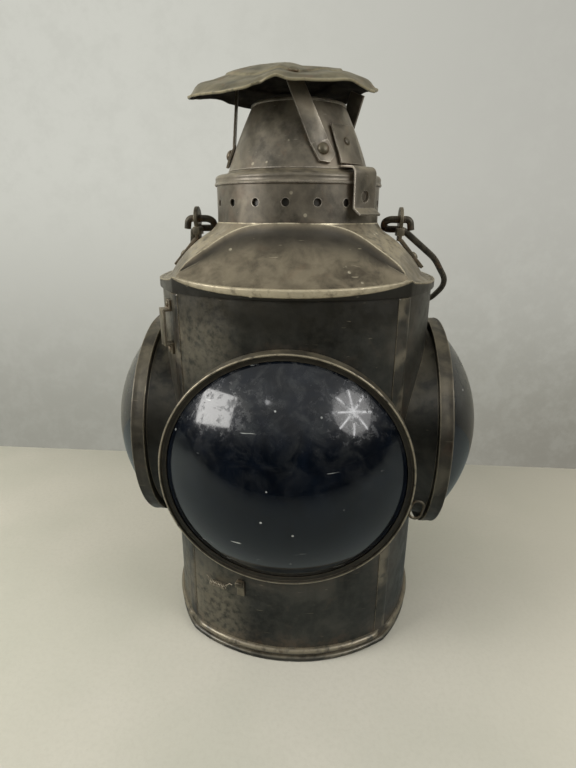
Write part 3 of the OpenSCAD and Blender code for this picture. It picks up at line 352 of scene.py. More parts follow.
def aged_metal(name, deep, base, light, metal=0.35, gloss=(0.42, 0.62), rust=0.25, dust=0.3, wear=0.5,
               rust_colour="#4a2f1c", rust_light="#6b4526", dust_and_sheen_colour="#b3a68a", bare_and_highlight="#a79d88",
               lump=34, grain=0.12, specks=0.0):
    """Old painted or bare sheet: mottled tone, rust, dust on top faces, bright worn edges, fine relief, and
    painted shade, painted highlights and painted sheen where marked.
    """
    f = Finish(name)
    broad, fine = f.noise(lump, 5, 0.55, 0.6), f.noise(4.2, 6, 0.65)
    tone = f.blend(f.ramp(broad, 0.34, 0.5), deep, base)
    tone = f.blend(f.ramp(broad, 0.5, 0.68), tone, light)
    tone = f.blend(f.ramp(fine, 0.35, 0.7, 0, 0.35), tone, light)
    streaks = f.noise(9, 4, 0.6, 0.2, f.stretched(1.0, 1.0, 0.16))
    tone = f.blend(f.ramp(streaks, 0.52, 0.75, 0, 0.3), tone, deep)

    flakes = f.ramp(f.noise(21, 8, 0.62, 1.2), 0.56 - 0.06 * rust, 0.7, 0, rust)
    cornered = f.times(f.crevice(5), f.ramp(fine, 0.3, 0.6, 0, min(1.0, rust * 1.5)))
    grown = f.times(f.mark("rusted"), f.ramp(f.noise(13, 7, 0.65, 0.8), 0.36, 0.6, 0, 0.8))
    rusty = f.most(flakes, cornered, grown)
    tone = f.blend(rusty, tone, f.blend(f.ramp(fine, 0.4, 0.6), rust_colour, rust_light))

    # worn bright edges and rubbed marks; the rub mark also paints highlights on crests
    rubbed = f.times(f.most(f.edge(0.9), f.mark("rub")), f.ramp(f.noise(5, 5, 0.6), 0.3, 0.55, 0, wear))
    tone = f.blend(rubbed, tone, bare_and_highlight)
    # dust on top faces and where marked; the mark also paints a sheen where the light falls
    dust_and_sheen_cover = f.times(f.ramp(f.part(f.facing(), "Z"), 0.15, 0.95),
                      f.ramp(f.noise(13, 6, 0.6, 0.5), 0.34, 0.62, 0, dust))
    dust_and_sheen_cover = f.most(dust_and_sheen_cover, f.times(f.mark("dusty"), f.ramp(fine, 0.25, 0.6)))
    tone = f.blend(dust_and_sheen_cover, tone, dust_and_sheen_colour)
    # painted shade: where marked, the tone goes almost black under lips, inside beads and rings and under the
    # crown
    tone = f.blend(f.mark("dark"), tone, "#24211a")
    if specks:
        spots = f.times(f.specks(7.5, 0.16), f.ramp(f.noise(16, 2), 0.5, 0.6, 0, specks))
        tone = f.blend(spots, tone, "#d9cfb4")
    scratches = f.noise(2.2, 3, 0.5, 0.0, f.stretched(0.1, 1.0, 1.6))
    tone = f.blend(f.ramp(scratches, 0.7, 0.76, 0, 0.35 * wear), tone, bare_and_highlight)

    cover = f.most(rusty, dust_and_sheen_cover)
    shine = f.add("ShaderNodeMath", {0: metal, 1: f.times(cover, metal)}, operation="SUBTRACT")
    dull = f.ramp(f.noise(8, 6, 0.6), 0.3, 0.7, *gloss)
    f.relief(f.plus(f.times(fine, 0.5), f.times(cover, 0.4)), grain)
    return f.shade(Base_Color=tone, Metallic=f.most(shine, f.times(rubbed, min(1.0, metal + 0.3))),
                   Roughness=f.most(dull, f.times(cover, 0.82)))


def glass_finish():
    """Near-black blue glass: gloss under a dull haze, dirt that breaks the highlights, specks, scratches."""
    f = Finish("lens_glass")
    smear, upward = f.noise(26, 5, 0.6, 1.4), f.part(f.facing(), "Z")
    film = f.times(f.ramp(upward, -0.2, 0.9), f.ramp(f.noise(11, 7, 0.62, 0.6), 0.42, 0.72))
    tone = f.blend(f.ramp(smear, 0.35, 0.75), "#03060c", "#080e17")
    tone = f.blend(f.times(film, 0.12), tone, "#8d8f8b")
    spots = f.times(f.specks(8, 0.1), f.ramp(f.noise(20, 2), 0.52, 0.6))
    scratch = f.ramp(f.noise(3.0, 2, 0.4, 0.0, f.stretched(0.09, 0.35, 1.3)), 0.72, 0.75)
    scratch = f.times(scratch, f.ramp(f.noise(30, 3), 0.5, 0.6))
    tone = f.blend(f.times(f.most(spots, scratch), 0.6), tone, "#c9ccc8")
    grit = f.times(f.ramp(f.noise(4.5, 6, 0.75), 0.5, 0.62), f.ramp(upward, 0.1, 0.5, 0, 0.34))
    f.relief(f.plus(f.times(smear, 0.15), f.times(spots, 0.5)), 0.05)
    return f.shade(Base_Color=tone, IOR=1.45, Coat_Weight=0.22, Coat_Roughness=0.27,
                   Roughness=f.plus(f.ramp(smear, 0.4, 0.8, 0.05, 0.10), f.times(film, 0.10), grit))


def cotton_finish():
    f = Finish("wick_cotton")
    rows = f.noise(1.1, 3, 0.5, 0.0, f.stretched(1.0, 1.0, 0.35))
    char = f.ramp(f.noise(4, 4, 0.6), 0.3, 0.7, 0, 0.35)
    f.relief(rows, 0.25)
    tone = f.blend(f.ramp(rows, 0.3, 0.7), "#b9ac8c", "#e3dac2")
    return f.shade(Base_Color=f.blend(char, tone, "#6d604a"), Roughness=0.95)


def underside_shade_finish():
    """The crown's underside, almost black and quite dull: painted shade."""
    f = Finish("soot")
    f.relief(f.noise(3, 5, 0.6), 0.1)
    tone = f.blend(f.ramp(f.noise(9, 5, 0.6), 0.35, 0.7), "#14120f", "#2b2721")
    return f.shade(Base_Color=tone, Roughness=0.95, Specular_IOR_Level=0.08)


# Three tones from deep to light, then all that differs from a plain aged metal
METALS = {
    "case_paint": ("#1a1a15 #2b2b26 #43413a", dict(
        metal=0.3, gloss=(0.3, 0.46), rust=0.16, dust=0.4, wear=0.85, bare_and_highlight="#8d8470", lump=42, grain=0.09,
        dust_and_sheen_colour="#8f8670", rust_colour="#352a1e", rust_light="#553f2b")),
    # the shoulder's pale bare colour also paints the highlights on its bead and lip
    "shoulder_paint": ("#40392d #5c5444 #766c5a", dict(
        gloss=(0.34, 0.52), rust=0.16, wear=1.0, bare_and_highlight="#d2c7aa", dust_and_sheen_colour="#b0a489", lump=30, specks=0.7)),
    "hood_paint": ("#403c33 #5b554a #7a7263", dict(
        metal=0.45, gloss=(0.34, 0.5), rust=0.22, dust=0.4, wear=0.8, bare_and_highlight="#b5ada0", dust_and_sheen_colour="#bdb196",
        lump=26, specks=0.35)),
    "crown_metal": ("#403c2e #5b5644 #756e5a", dict(
        metal=0.3, gloss=(0.45, 0.62), rust=0.5, dust=0.35, wear=0.6, bare_and_highlight="#aba183", rust_colour="#6a4a30",
        dust_and_sheen_colour="#8e8569", lump=20)),
    "fitting_metal": ("#39342a #565041 #746c5a", dict(
        metal=0.5, gloss=(0.36, 0.52), rust=0.35, dust=0.25, wear=0.7, bare_and_highlight="#9b917e", lump=14)),
    "wire_steel": ("#26231c #3b362c #57503f", dict(
        metal=0.45, gloss=(0.4, 0.55), rust=0.5, dust=0.15, bare_and_highlight="#857b68", lump=12)),
    "spring_steel": ("#5c5446 #857c6a #a89e8a", dict(
        metal=0.5, gloss=(0.35, 0.5), dust=0.1, bare_and_highlight="#b9b09c", lump=10)),
    "ring_metal": ("#1f1c15 #38342c #524d41", dict(
        metal=0.4, gloss=(0.32, 0.48), rust=0.2, dust=0.4, wear=0.9, bare_and_highlight="#a59b84", lump=24,
        dust_and_sheen_colour="#857b63")),
    "burner_brass": ("#6b5124 #94743a #b08e4d", dict(
        metal=0.85, gloss=(0.3, 0.45), rust=0.1, dust=0.1, bare_and_highlight="#c7a765", rust_colour="#3d3a22", lump=14)),
    "pot_metal": ("#4c4a42 #6d6a60 #8a877b", dict(
        metal=0.7, gloss=(0.32, 0.5), rust=0.3, dust=0.2, bare_and_highlight="#a5a195", lump=22)),
}
FINISHES = {name: aged_metal(name, *tones.split(), **rest) for name, (tones, rest) in METALS.items()}
FINISHES.update(lens_glass=glass_finish(), soot=underside_shade_finish(), wick_cotton=cotton_finish())


# ---- shapes made by geometry nodes

class ShapeTree(Nodes):
    """A geometry node tree with named inputs."""

    def __init__(self, name, sizes):
        super().__init__(bpy.data.node_groups.new(name, "GeometryNodeTree"))
        socket = self.tree.interface.new_socket
        for key, kind in {"Geometry": "Geometry", **sizes, "Finish": "Material"}.items():
            socket(key, in_out="INPUT", socket_type="NodeSocket" + kind)
        socket("Geometry", in_out="OUTPUT", socket_type="NodeSocketGeometry")
        self.size = self.tree.nodes.new("NodeGroupInput").outputs

    def end(self, last):
        """Every tree ends alike: real geometry, smooth shading and its finish."""
        real = self.add("GeometryNodeRealizeInstances", {0: last})
        shade = self.add("GeometryNodeSetShadeSmooth", {0: real})
        paint = self.add("GeometryNodeSetMaterial", {0: shade, "Material": self.size["Finish"]})
        self.put(self.tree.nodes.new("NodeGroupOutput").inputs[0], paint)
        return self.tree


def run_tree(name, points, edges, tree, values, sharp):
    """Runs a tree on points and edges in millimetres and returns the result as a plain mesh object."""
    mesh = bpy.data.meshes.new(name)
    mesh.from_pydata([tuple(Vector(p) * MM) for p in points], edges, [])
    if "Aims" in values:
        aim = mesh.attributes.new("aim", "FLOAT_VECTOR", "POINT")
        for i, direction in enumerate(values["Aims"]):
            aim.data[i].vector = direction
    obj = new_object(name, mesh)
    modifier = obj.modifiers.new("shape", "NODES")
    modifier.node_group = tree
    for item in tree.interface.items_tree:
        if item.item_type == "SOCKET" and item.in_out == "INPUT" and item.name in values:
            modifier[item.identifier] = values[item.name]
    return plain_copy(obj, sharp)


def wire_tree():
    """A round wire of one radius along a line of points."""
    t = ShapeTree("wire_along_route", {"Wire radius": "Float", "Sides": "Int"})
    route = t.add("GeometryNodeMeshToCurve", {0: t.size["Geometry"]})
    section = t.add("GeometryNodeCurvePrimitiveCircle", {
        "Resolution": t.size["Sides"], "Radius": t.size["Wire radius"]})
    return t.end(t.add("GeometryNodeCurveToMesh", {
        "Curve": route, "Profile Curve": section, "Fill Caps": True}))


def rivet_tree():
    """A domed head on every point, turned to the point's own direction."""
    t = ShapeTree("rivet_heads", {"Head radius": "Float", "Head height": "Float"})
    radius = t.size["Head radius"]
    head = t.add("GeometryNodeMeshUVSphere", {"Segments": 28, "Rings": 14, "Radius": 1.0}, "Mesh")
    size = t.add("ShaderNodeCombineXYZ", {0: radius, 1: radius, 2: t.size["Head height"]})
    shaped = t.add("GeometryNodeTransform", {"Geometry": head, "Scale": size})
    aim = t.add("GeometryNodeInputNamedAttribute", {"Name": "aim"}, "Attribute", data_type="FLOAT_VECTOR")
    turn = t.add("FunctionNodeAlignRotationToVector", {"Vector": aim}, axis="Z")
    return t.end(t.add("GeometryNodeInstanceOnPoints", {
        "Points": t.size["Geometry"], "Instance": shaped, "Rotation": turn}))


def vent_tree():
    """A short pipe with a ring of round holes through its wall."""
    t = ShapeTree("vented_pipe", {
        "Outer radius": "Float", "Wall": "Float", "Height": "Float", "Foot": "Float", "Holes": "Int",
        "Hole radius": "Float", "Hole height": "Float", "First hole": "Float"})
    size = t.size

    def value(kind, a, b):
        return t.add("ShaderNodeMath", {0: a, 1: b}, operation=kind)

    def along_z(amount):
        return t.add("ShaderNodeCombineXYZ", {2: amount})

    middle = along_z(value("ADD", size["Foot"], value("MULTIPLY", size["Height"], 0.5)))

    def drum(radius, depth):
        mesh = t.add("GeometryNodeMeshCylinder", {"Vertices": 198, "Radius": radius, "Depth": depth}, "Mesh")
        return t.add("GeometryNodeTransform", {"Geometry": mesh, "Translation": middle})

    def cut(whole, tool):
        return t.add("GeometryNodeMeshBoolean", {"Mesh 1": whole, "Mesh 2": tool}, operation="DIFFERENCE")

    outer = drum(size["Outer radius"], size["Height"])
    inner = drum(value("SUBTRACT", size["Outer radius"], size["Wall"]), 0.5)
    ring = t.add("GeometryNodeMeshCircle", {"Vertices": size["Holes"], "Radius": size["Outer radius"]})
    punch = t.add("GeometryNodeMeshCylinder", {
        "Vertices": 32, "Depth": 0.012, "Radius": size["Hole radius"]}, "Mesh")
    position = t.add("GeometryNodeInputPosition")
    from_axis = t.add("FunctionNodeAlignRotationToVector", {"Vector": position}, axis="Z")
    punches = t.add("GeometryNodeInstanceOnPoints", {"Points": ring, "Instance": punch, "Rotation": from_axis})
    turned = t.add("GeometryNodeTransform", {
        "Geometry": punches, "Translation": along_z(size["Hole height"]),
        "Rotation": along_z(size["First hole"])})
    holes = t.add("GeometryNodeRealizeInstances", {0: turned})
    return t.end(cut(cut(outer, inner), holes))


WIRE_TREE, RIVET_TREE, VENT_TREE = wire_tree(), rivet_tree(), vent_tree()


def wire(name, points, radius, sides, closed=False):
    """A round wire along a route."""
    n = len(points)
    edges = [(i, (i + 1) % n) for i in range(n if closed else n - 1)]
    return run_tree(name, points, edges, WIRE_TREE, {
        "Wire radius": radius * MM, "Sides": sides, "Finish": FINISHES["wire_steel"]}, 50)


def rivets(name, places, radius, height):
    """Domed heads; places is a list of (point, direction)."""
    return run_tree(name, [p for p, _ in places], [], RIVET_TREE, {
        "Aims": [aim for _, aim in places], "Head radius": radius * MM, "Head height": height * MM,
        "Finish": FINISHES["fitting_metal"]}, 60)


# ---- the four-sided case

def side_angle(a):
    """The turn from the middle of the nearest side."""
    return (a + 45) % 90 - 45


def wall_r(a, grow=0.0):
    d = radians(side_angle(a))
    return sqrt((PANEL_R + grow) ** 2 - (PANEL_OFF * sin(d)) ** 2) - PANEL_OFF * cos(d)


CORNER_AT = wall_r(45, -CORNER_FILLET)
PANEL_HALF = degrees(atan2(CORNER_AT / sqrt(2), CORNER_AT / sqrt(2) + PANEL_OFF))


def skin(facing, grow=0.0, z=0.0):
    """The point of the rounded four-sided outline that faces this azimuth."""
    side = 90 * floor((facing + 45) / 90)
    off = facing - side
    if abs(off) <= PANEL_HALF:
        p = az_dir(side) * -PANEL_OFF + az_dir(facing) * (PANEL_R + grow)
    else:
        p = az_dir(side + (45 if off > 0 else -45)) * CORNER_AT + az_dir(facing) * (CORNER_FILLET + grow)
    return Vector((p.x, p.y, z))


def wall_point(facing, z, extra=0.0):
    """A point of the case's skin, with its foot bead and the shallow hollows of a well-used sheet."""
    p, rise = skin(facing, 0, z), BEAD_R ** 2 - (z - BEAD_Z) ** 2
    bead = (sqrt(rise) if rise > 0 else 0.0) * ease(36.6, 35.2, abs(side_angle(facing)))
    dents = -0.26 * (1 + rough(p, 46, 3.1)) - 0.10 * (1 + rough(p, 17, 7.7))
    return skin(facing, bead + dents * ease(0, 6, abs(z - BEAD_Z)) + extra, z)


def barrel_r(depth):
    return BARREL_R - (RING_BACK - depth) * BARREL_TAPER


def hole_edge(turn):
    """Where a lens barrel leaves the wall: how far round the panel, the height, the depth and the radius."""
    reach = 60.0
    for _ in range(25):
        depth = sqrt(PANEL_R ** 2 - (reach * cos(turn)) ** 2) - PANEL_OFF
        reach = barrel_r(depth)
    return degrees(asin(reach * cos(turn) / PANEL_R)), LENS_Z + reach * sin(turn), depth, reach


LOW_Z = [FOOT_Z, 4.6, 5.4, 6.0] + [BEAD_Z - BEAD_R * cos(pi * i / 12) for i in range(13)] + \
    [11.1, 13, 17, 23, 31, 40, 50, BAND_LOW]
HIGH_Z = [BAND_TOP, 218, 222, 226, 229, 232, 234, TOP_Z]
MID_Z = [mix(BAND_LOW, BAND_TOP, i / 38) for i in range(39)]
HOLE_STEPS = (0, 0.12, 0.3, 0.5, 0.75, 1)
ACROSS = [mix(-PANEL_HALF, PANEL_HALF, i / 48) for i in range(49)]


def corner_turns(n):
    return [mix(PANEL_HALF, 90 - PANEL_HALF, i / n) for i in range(n + 1)]


def case_walls():
    """Four curved panels, each with its bead and its lens hole, and the rounded corners between them."""
    bm = bmesh.new()
    for side in SIDES.values():
        for levels in (LOW_Z, HIGH_Z):
            add_grid(bm, [[wall_point(side + a, z) for z in levels] for a in ACROSS], False)
        rim = [(a, BAND_LOW) for a in ACROSS] + [(PANEL_HALF, z) for z in MID_Z[1:]] + \
            [(a, BAND_TOP) for a in ACROSS[-2::-1]] + [(-PANEL_HALF, z) for z in MID_Z[-2:0:-1]]
        rows = []
        for a, z in rim:
            edge_a, edge_z, _, _ = hole_edge(atan2(z - LENS_Z, PANEL_R * sin(radians(a))))
            rows.append([wall_point(side + mix(edge_a, a, t), mix(edge_z, z, t)) for t in HOLE_STEPS])
        add_grid(bm, rows)
        levels = LOW_Z + MID_Z[1:] + HIGH_Z[1:]
        add_grid(bm, [[wall_point(side + a, z) for z in levels] for a in corner_turns(6)], False)
    obj = from_bmesh("case_walls", bm, 45)
    solid = obj.modifiers.new("thickness", "SOLIDIFY")
    solid.thickness, solid.offset = SHEET * MM, -1.0
    return plain_copy(obj, 45)


def corner_seams():
    """The folded lock seams beside each corner."""
    low, top = 11.4, 234.2
    levels = [low, 11.9] + [mix(12.5, 233, i / 110) for i in range(111)] + [233.6, top]
    rise = [-0.3, 0.30, 0.48, 0.55] + [0.58] * 4 + [0.55] * 5 + [0.45, 0.25, -0.3]
    bm = bmesh.new()
    for side in SIDES.values():
        rows = []
        for z in levels:
            start = 34.3
            if abs(z - LENS_Z) < 55:
                turn = 0.0
                for _ in range(12):
                    reach = hole_edge(turn)[3]
                    turn = asin(max(-1, min(1, (z - LENS_Z) / reach)))
                if abs(z - LENS_Z) < reach:
                    start = max(start, hole_edge(turn)[0] + 0.45)
            angles = [start, start, start + 0.25, start + 0.5]
            angles += [mix(start + 0.7, PANEL_HALF, i / 4) for i in range(1, 5)]
            angles += corner_turns(5)[1:] + [52.5, 52.8, 52.8]
            rows.append([wall_point(side + a, z, -0.3 if z in (low, top) else g) for a, g in zip(angles, rise)])
        add_grid(bm, rows, False)
    return from_bmesh("corner_seams", bm, 50, merge=0)


def base_tray():
    """The four-sided tray with its worn flange round the foot of the case."""
    rows = []
    for a in [side + a for side in SIDES.values() for a in ACROSS[:-1:2] + corner_turns(6)[:-1]]:
        wear = 0.22 * rough(skin(a), 19, 5.5)
        # share of the way out, height, distance from the case's skin
        section = [(0, 0, -1.4), (0.5, 0, -1.4), (1, 0.0, -1.5)]
        section += [(1, z, g + wear) for z, g in ((0.3, 0.6), (0.6, 1.3), (1.2, 1.6), (2.2, 1.6), (3.0, 1.3))]
        section += [(1, z, g) for z, g in ((3.5, 0.6), (3.7, 0.0), (3.7, -1.3), (11.8, -1.4), (12, -1.6),
                                           (12, -2.4), (11.8, -2.6), (2.0, -2.6), (1.2, -3.4))]
        section += [(0.5, 1.2, -3.4), (0, 1.2, 0)]
        rows.append([skin(a, g) * s + up(z) for s, z, g in section])
    return sheet("base_tray", rows)


def lens_barrel(side):
    """The tapered pipe between the wall and its lens ring."""
    place, rows = to_lens(side), []
    for i in range(144):
        turn = 2 * pi * i / 144
        depth = hole_edge(turn)[2]
        stops = [mix(RING_BACK, depth - 0.6, k / 8) for k in range(9)]
        section = [(65.3, 87.9), (69.6, 87.9), (69.6, 86.95), (66.15, 86.9)]
        section += [(barrel_r(h) - 0.1 * (1 + rough((turn * 30, h, 0), 9, 2)), h) for h in stops[1:]]
        section += [(barrel_r(h) - SHEET - 0.3, h) for h in stops[:0:-1]] + [(64.6, 87.0)]
        # drawn along +Z, where -X becomes up
        rows.append([place(Vector((-r * sin(turn), r * cos(turn), h))) for r, h in section])
    return sheet("barrel_" + side, rows, True, True, 45)


def lens_ring(side):
    profile = [(70.2, 86.85), (70.75, 86.9), (71.0, 87.2), (71.0, 89.5), (70.8, 91.2), (70.8, 93.0)] + \
        arc(70.1, 94.3, 0.9, -20, 190, 12) + [(69.0, 93.9), (68.0, 93.75), (67.2, 93.85)] + \
        arc(66.95, 93.45, 0.42, 80, 260, 6) + [(67.4, 92.75), (69.85, 92.7), (69.85, 86.85)]
    seed = SIDES[side] / 7.0

    def worn(p):
        return inward(p, 0.10 * (1 + rough(p, 15, seed))) - up(0.06 * (1 + rough(p, 9, seed + 4)))

    return lathe("ring_" + side, profile, 240, 35, to_lens(side), worn)


def lens_glass(side):
    """A domed glass with optical steps on its inner face."""
    edge_r, top = GLASS_R - 0.1, RING_BACK + RING_DEPTH - 2.2
    middle = top - sqrt(GLASS_BALL ** 2 - GLASS_R ** 2)

    def ball(r, radius):
        return middle + sqrt(radius ** 2 - r * r)

    outer = [(r, ball(r, GLASS_BALL)) for r in [edge_r * sin(pi / 2 * i / 40) for i in range(41)]]
    inner, step = [(GLASS_STEPS_R, 88.15), (GLASS_STEPS_R, 90.6)], GLASS_STEPS_R / GLASS_STEPS
    for k in range(GLASS_STEPS, 0, -1):
        h = ball(k * step, GLASS_BALL_IN)
        inner += [(k * step, h), ((k - 1) * step, h)]
    profile = outer + [(edge_r, 92.5), (68.6, 92.4), (68.6, 88.2), (68.2, 88.15)] + inner
    return lathe("glass_" + side, profile, 160, 30, to_lens(side))


# ---- the pressed dome

_half = hypot(DOME_EDGE_R - COLLAR_R, DOME_EDGE - DOME_TOP) / 2
_back = sqrt(DOME_ARC ** 2 - _half ** 2)
DOME_CX = (COLLAR_R + DOME_EDGE_R) / 2 - _back * (DOME_TOP - DOME_EDGE) / (2 * _half)
DOME_CZ = (DOME_TOP + DOME_EDGE) / 2 - _back * (DOME_EDGE_R - COLLAR_R) / (2 * _half)


def dome_z(r):
    """Height of the round shoulder: an arc, then a straight fall outside its edge."""
    if r < DOME_EDGE_R:
        return DOME_CZ + sqrt(DOME_ARC ** 2 - (r - DOME_CX) ** 2)
    return DOME_EDGE - (r - DOME_EDGE_R) * DOME_FALL


def shell_z(a, r):
    """The same, stretched towards the corners."""
    square = (1 / cos(radians(side_angle(a))) - 1) / (sqrt(2) - 1)
    return dome_z(r / (1 + DOME_SQUARE * (r - COLLAR_R) * square))


def shell_at(p):
    return shell_z(az_of(p), hypot(p.x, p.y))


def on_front(x, g):
    """A point over the front panel's skin grown by g."""
    q = x * wall_r(45, g) / wall_r(45, 0)
    return Vector((q, PANEL_OFF - sqrt((PANEL_R + g) ** 2 - q * q), 0))


def arch_point(x):
    """The pressed arch in plan: round the collar's foot, then out to the corner."""
    near = max(0.0, (HOLE_R + 1.2) ** 2 - x * x)
    depth = ARCH_Y + (ARCH_TIP - ARCH_Y) * (abs(x) / ARCH_TIP) ** 2.8
    return Vector((x, -(near ** 6 + depth ** 12) ** (1 / 12), 0))


RIM_EDGE = shell_z(45, wall_r(45, -0.6)) + 0.5


def dome_row(a):
    """One section of the dome, out on top and back below: points, and for each its rub and painted highlight,
    its dust and painted sheen, and its painted shade.
    """
    b = (a + 90) % 180 - 90
    flip = 1 if (a + 90) % 360 < 180 else -1
    p0 = az_dir(b) * HOLE_R
    if abs(b) <= 45.001:
        u = min(1.0, abs(b) / 45)
        x = copysign(ARCH_TIP * sin(radians(66 * u)) / sin(radians(66)), b)
        pb, g = arch_point(x), 1 - u * u
        lip_x = x * LIP_END / ARCH_TIP
        pl, ps, po = (on_front(lip_x, q) for q in (LIP_IN, SHELF_OUT, SKIRT_OUT + LIP_BULGE * g))
        bead, climb = ARCH_BEAD * min(1, 0.4 + 8 * (1 - u)), ARCH_CLIMB * max(0, 1 - (b / 30) ** 2)
        rim, lip = mix(RIM_EDGE, TOP_Z + 5, g), LIP_H * g
    else:
        k = ((90 - abs(b)) / 45) ** 6
        d = az_dir(b)
        pb, g = d * mix(DOME_EDGE_R - 7.5, ARCH_TIP * sqrt(2), k), 0.0
        pl, ps, po = (d * wall_r(b, q) for q in (LIP_IN, SHELF_OUT, SKIRT_OUT))
        bead, climb, lip, rim = 0.6 * k * k, 0.0, 0.0, shell_z(b, wall_r(b, -0.6)) + 0.5
    far, wide = (pb - p0).length, (pl - pb).length
    back, ahead = (p0 - pb).normalized(), (pl - pb).normalized()
    n_out, n_in = min(2.4, 0.6 * far), min(2.6, 0.2 * wide)
    raised, plain = bead / ARCH_BEAD, 1 - min(1, bead / ARCH_BEAD)
    zb, zl = shell_at(pb) + climb, rim - lip - 0.4
    out = []

    def put(p, z, rub=0.0, dusty=0.0, dark=0.0):
        z += 0.14 * rough((p.x, p.y, z), 24, 9.0) * ease(0, 3, (p - p0).length) * (1 - dark)
        out.append(((p.x * flip, p.y * flip, z), rub, dusty, dark))

    def panel(p, s):
        """The dished panel between the arch and the lip; the plain shoulder where there is no arch."""
        dished = mix(zb, zl, s) - ARCH_DISH * wide / 34 * 4 * s * (1 - s)
        return mix(dished, shell_at(p), plain)

    # from the collar to the foot of the bead
    q = pb + back * n_out
    for i in range(14):
        p = p0.lerp(q, (i / 14) ** 1.5)
        swell = 3.2 * max(0.0, 1 - (p - p0).length / 6) ** 2.2 * ease(5, 12, far)
        put(p, shell_at(p) + swell, dusty=0.75 * ease(0, 8, far) * ease(0, 1, 0.3 + i / 14))
    # up and over the bead, whose crest is pale with rubbed paint and a painted highlight
    for i in range(6):
        t = i / 6
        p = q.lerp(pb, t)
        put(p, shell_at(p) + (bead + climb) * ease(0, 1, t), 0.55 * raised * ease(0.75, 1, t), 0.65 * (1 - t))
    # down into the painted shade inside the bead
    for i in range(6):
        t = i / 6
        p = pb + ahead * n_in * t
        put(p, panel(p, t * n_in / wide) + bead * ease(1, 0, t) - 0.5 * bead * ease(0.4, 1, t),
            rub=0.55 * raised * ease(0.22, 0.0, t), dark=0.8 * min(1, bead) * ease(0.2, 0.8, t))
    # across the panel: painted shade below the bead, dust towards the lip
    for i in range(22):
        s = mix(n_in / wide, 0.96, i / 21)
        p = pb.lerp(pl, s)
        put(p, panel(p, s) - 0.5 * bead * ease(0.22, n_in / wide, s),
            dusty=0.5 * ease(0.5, 0.95, s) * min(1, g * 3) * (1 - 0.8 * g),
            dark=0.8 * min(1, bead) * ease(0.46, 0.12, s))
    put(pl, mix(panel(pl, 1), zl, 0.5), dusty=0.5)
    # the rolled lip: up its inside, over the crest and down its bulged face; pale with dust, rubbed paint and a
    # painted highlight, in painted shade at its foot
    crest = ps.lerp(po, 0.3)
    for i in range(1, 6):
        t = i / 5
        put(pl.lerp(crest, t), zl + (rim - zl) * sin(t * pi / 2), t * mix(0.35, 1, g ** 0.5),
            0.9 * t * min(1, 2 * g))
    fall = 0.9 + 3.7 * g
    for i in range(1, 9):
        t = i / 8
        bulge = sin(t * pi)
        p = crest.lerp(po, min(1, 0.25 + bulge ** 0.8) if t < 0.5 else mix(mix(1, 0.45, g), 1, bulge))
        put(p, rim - fall * (1 - cos(t * pi)) / 2, (1 - 0.6 * t) * g,
            0.7 * (1 - 0.5 * t) * min(1, 2 * g), ease(0.86, 1, t) * 0.7)
    # the skirt and the underside, in painted shade
    hem = ps.lerp(po, mix(1, 0.3, g))
    for p, z in ((hem, rim - fall - 0.5), (hem, SHELF_Z - 1.0), (ps, SHELF_Z - 1.1), (ps, SHELF_Z),
                 (pl * 0.995, min(SHELF_Z + 0.3, zl - 1.5))):
        put(p, z, dark=1.0)
    for s in (0.9, 0.7, 0.5, 0.3, 0.1):
        p = pb.lerp(pl, s)
        put(p * 0.99, panel(p, s) - 1.9, dark=1.0)
    p = p0.lerp(q, 0.9)
    put(p, min(shell_at(p), zb) - 1.8, dark=1.0)
    for s in (0.66, 0.33, 0.0):
        p = p0.lerp(q, s)
        put(p, shell_at(p) - 1.7, dark=1.0)
    return out


def dome_shell():
    count = 416
    rows = [dome_row(360 * i / count) for i in range(count)]
    return sheet("dome_shell", rows, True, True, 60, 0.000004, ("rub", "dusty", "dark"))


# ---- hood, cone and crown

def cone_r(h):
    """Radius of the slightly swollen cone at a height above its foot."""
    return mix(CONE_FOOT_R, CONE_TOP_R, h / CONE_H) + 0.9 * 4 * h / CONE_H * (1 - h / CONE_H)


def hood_brim():
    profile = [(50.75, 291.8), (51.4, 291.75), (51.78, 292.1), (51.8, 292.7), (51.45, 293.2), (51.2, 293.7),
               (51.15, 295.0)] + arc(48.75, 295.2, 2.5, 4, 84, 8) + \
        [(47.4, 298.0), (45.6, 298.35), (44.2, 298.9), (43.3, 299.7), (42.4, 299.95), (41.2, 299.9),
         (41.2, 298.4), (47.6, 296.9), (49.6, 296.4), (50.6, 295.4), (50.7, 293.4)]
    return lathe("hood_brim_sheet", profile, 256, 35, worn=lambda p: inward(
        p, 0.06 * (1 + rough(p, 14, 1.3))) + up(0.10 * rough(p, 25, 8.8)))


def hood_cone():
    outer = [(cone_r(h), CONE_Z + h) for h in [35.2 * i / 26 for i in range(27)]]
    roll = arc(27.7, 336.0, 1.0, -30, 200, 9)
    inner = [(cone_r(h) - SHEET, CONE_Z + h) for h in [34.8 * i / 12 for i in range(12, -1, -1)]]
    return lathe("hood_cone_sheet", outer + roll + inner, 224, worn=lambda p: inward(
        p, (0.16 * (1 + rough(p, 17, 6.1)) + 0.05 * (1 + rough(p, 6, 2.2))) * ease(CONE_Z, CONE_Z + 4, p.z)))


# Height of the crown along its left-right middle, by distance from its own centre
CROWN_MID = [
    (-60, 340.6), (-57.9, 342.4), (-52, 348.0), (-46, 351.4), (-35.6, 354.2), (-29, 356.4), (-21.5, 358.0),
    (-11, 359.6), (0, 360.0), (5, 359.5), (9.6, 358.1), (18, 357.4), (27, 356.5), (33.6, 355.8), (39, 354.4),
    (44, 352.4), (51, 348.4), (54.4, 345.6), (60, 342.0)]
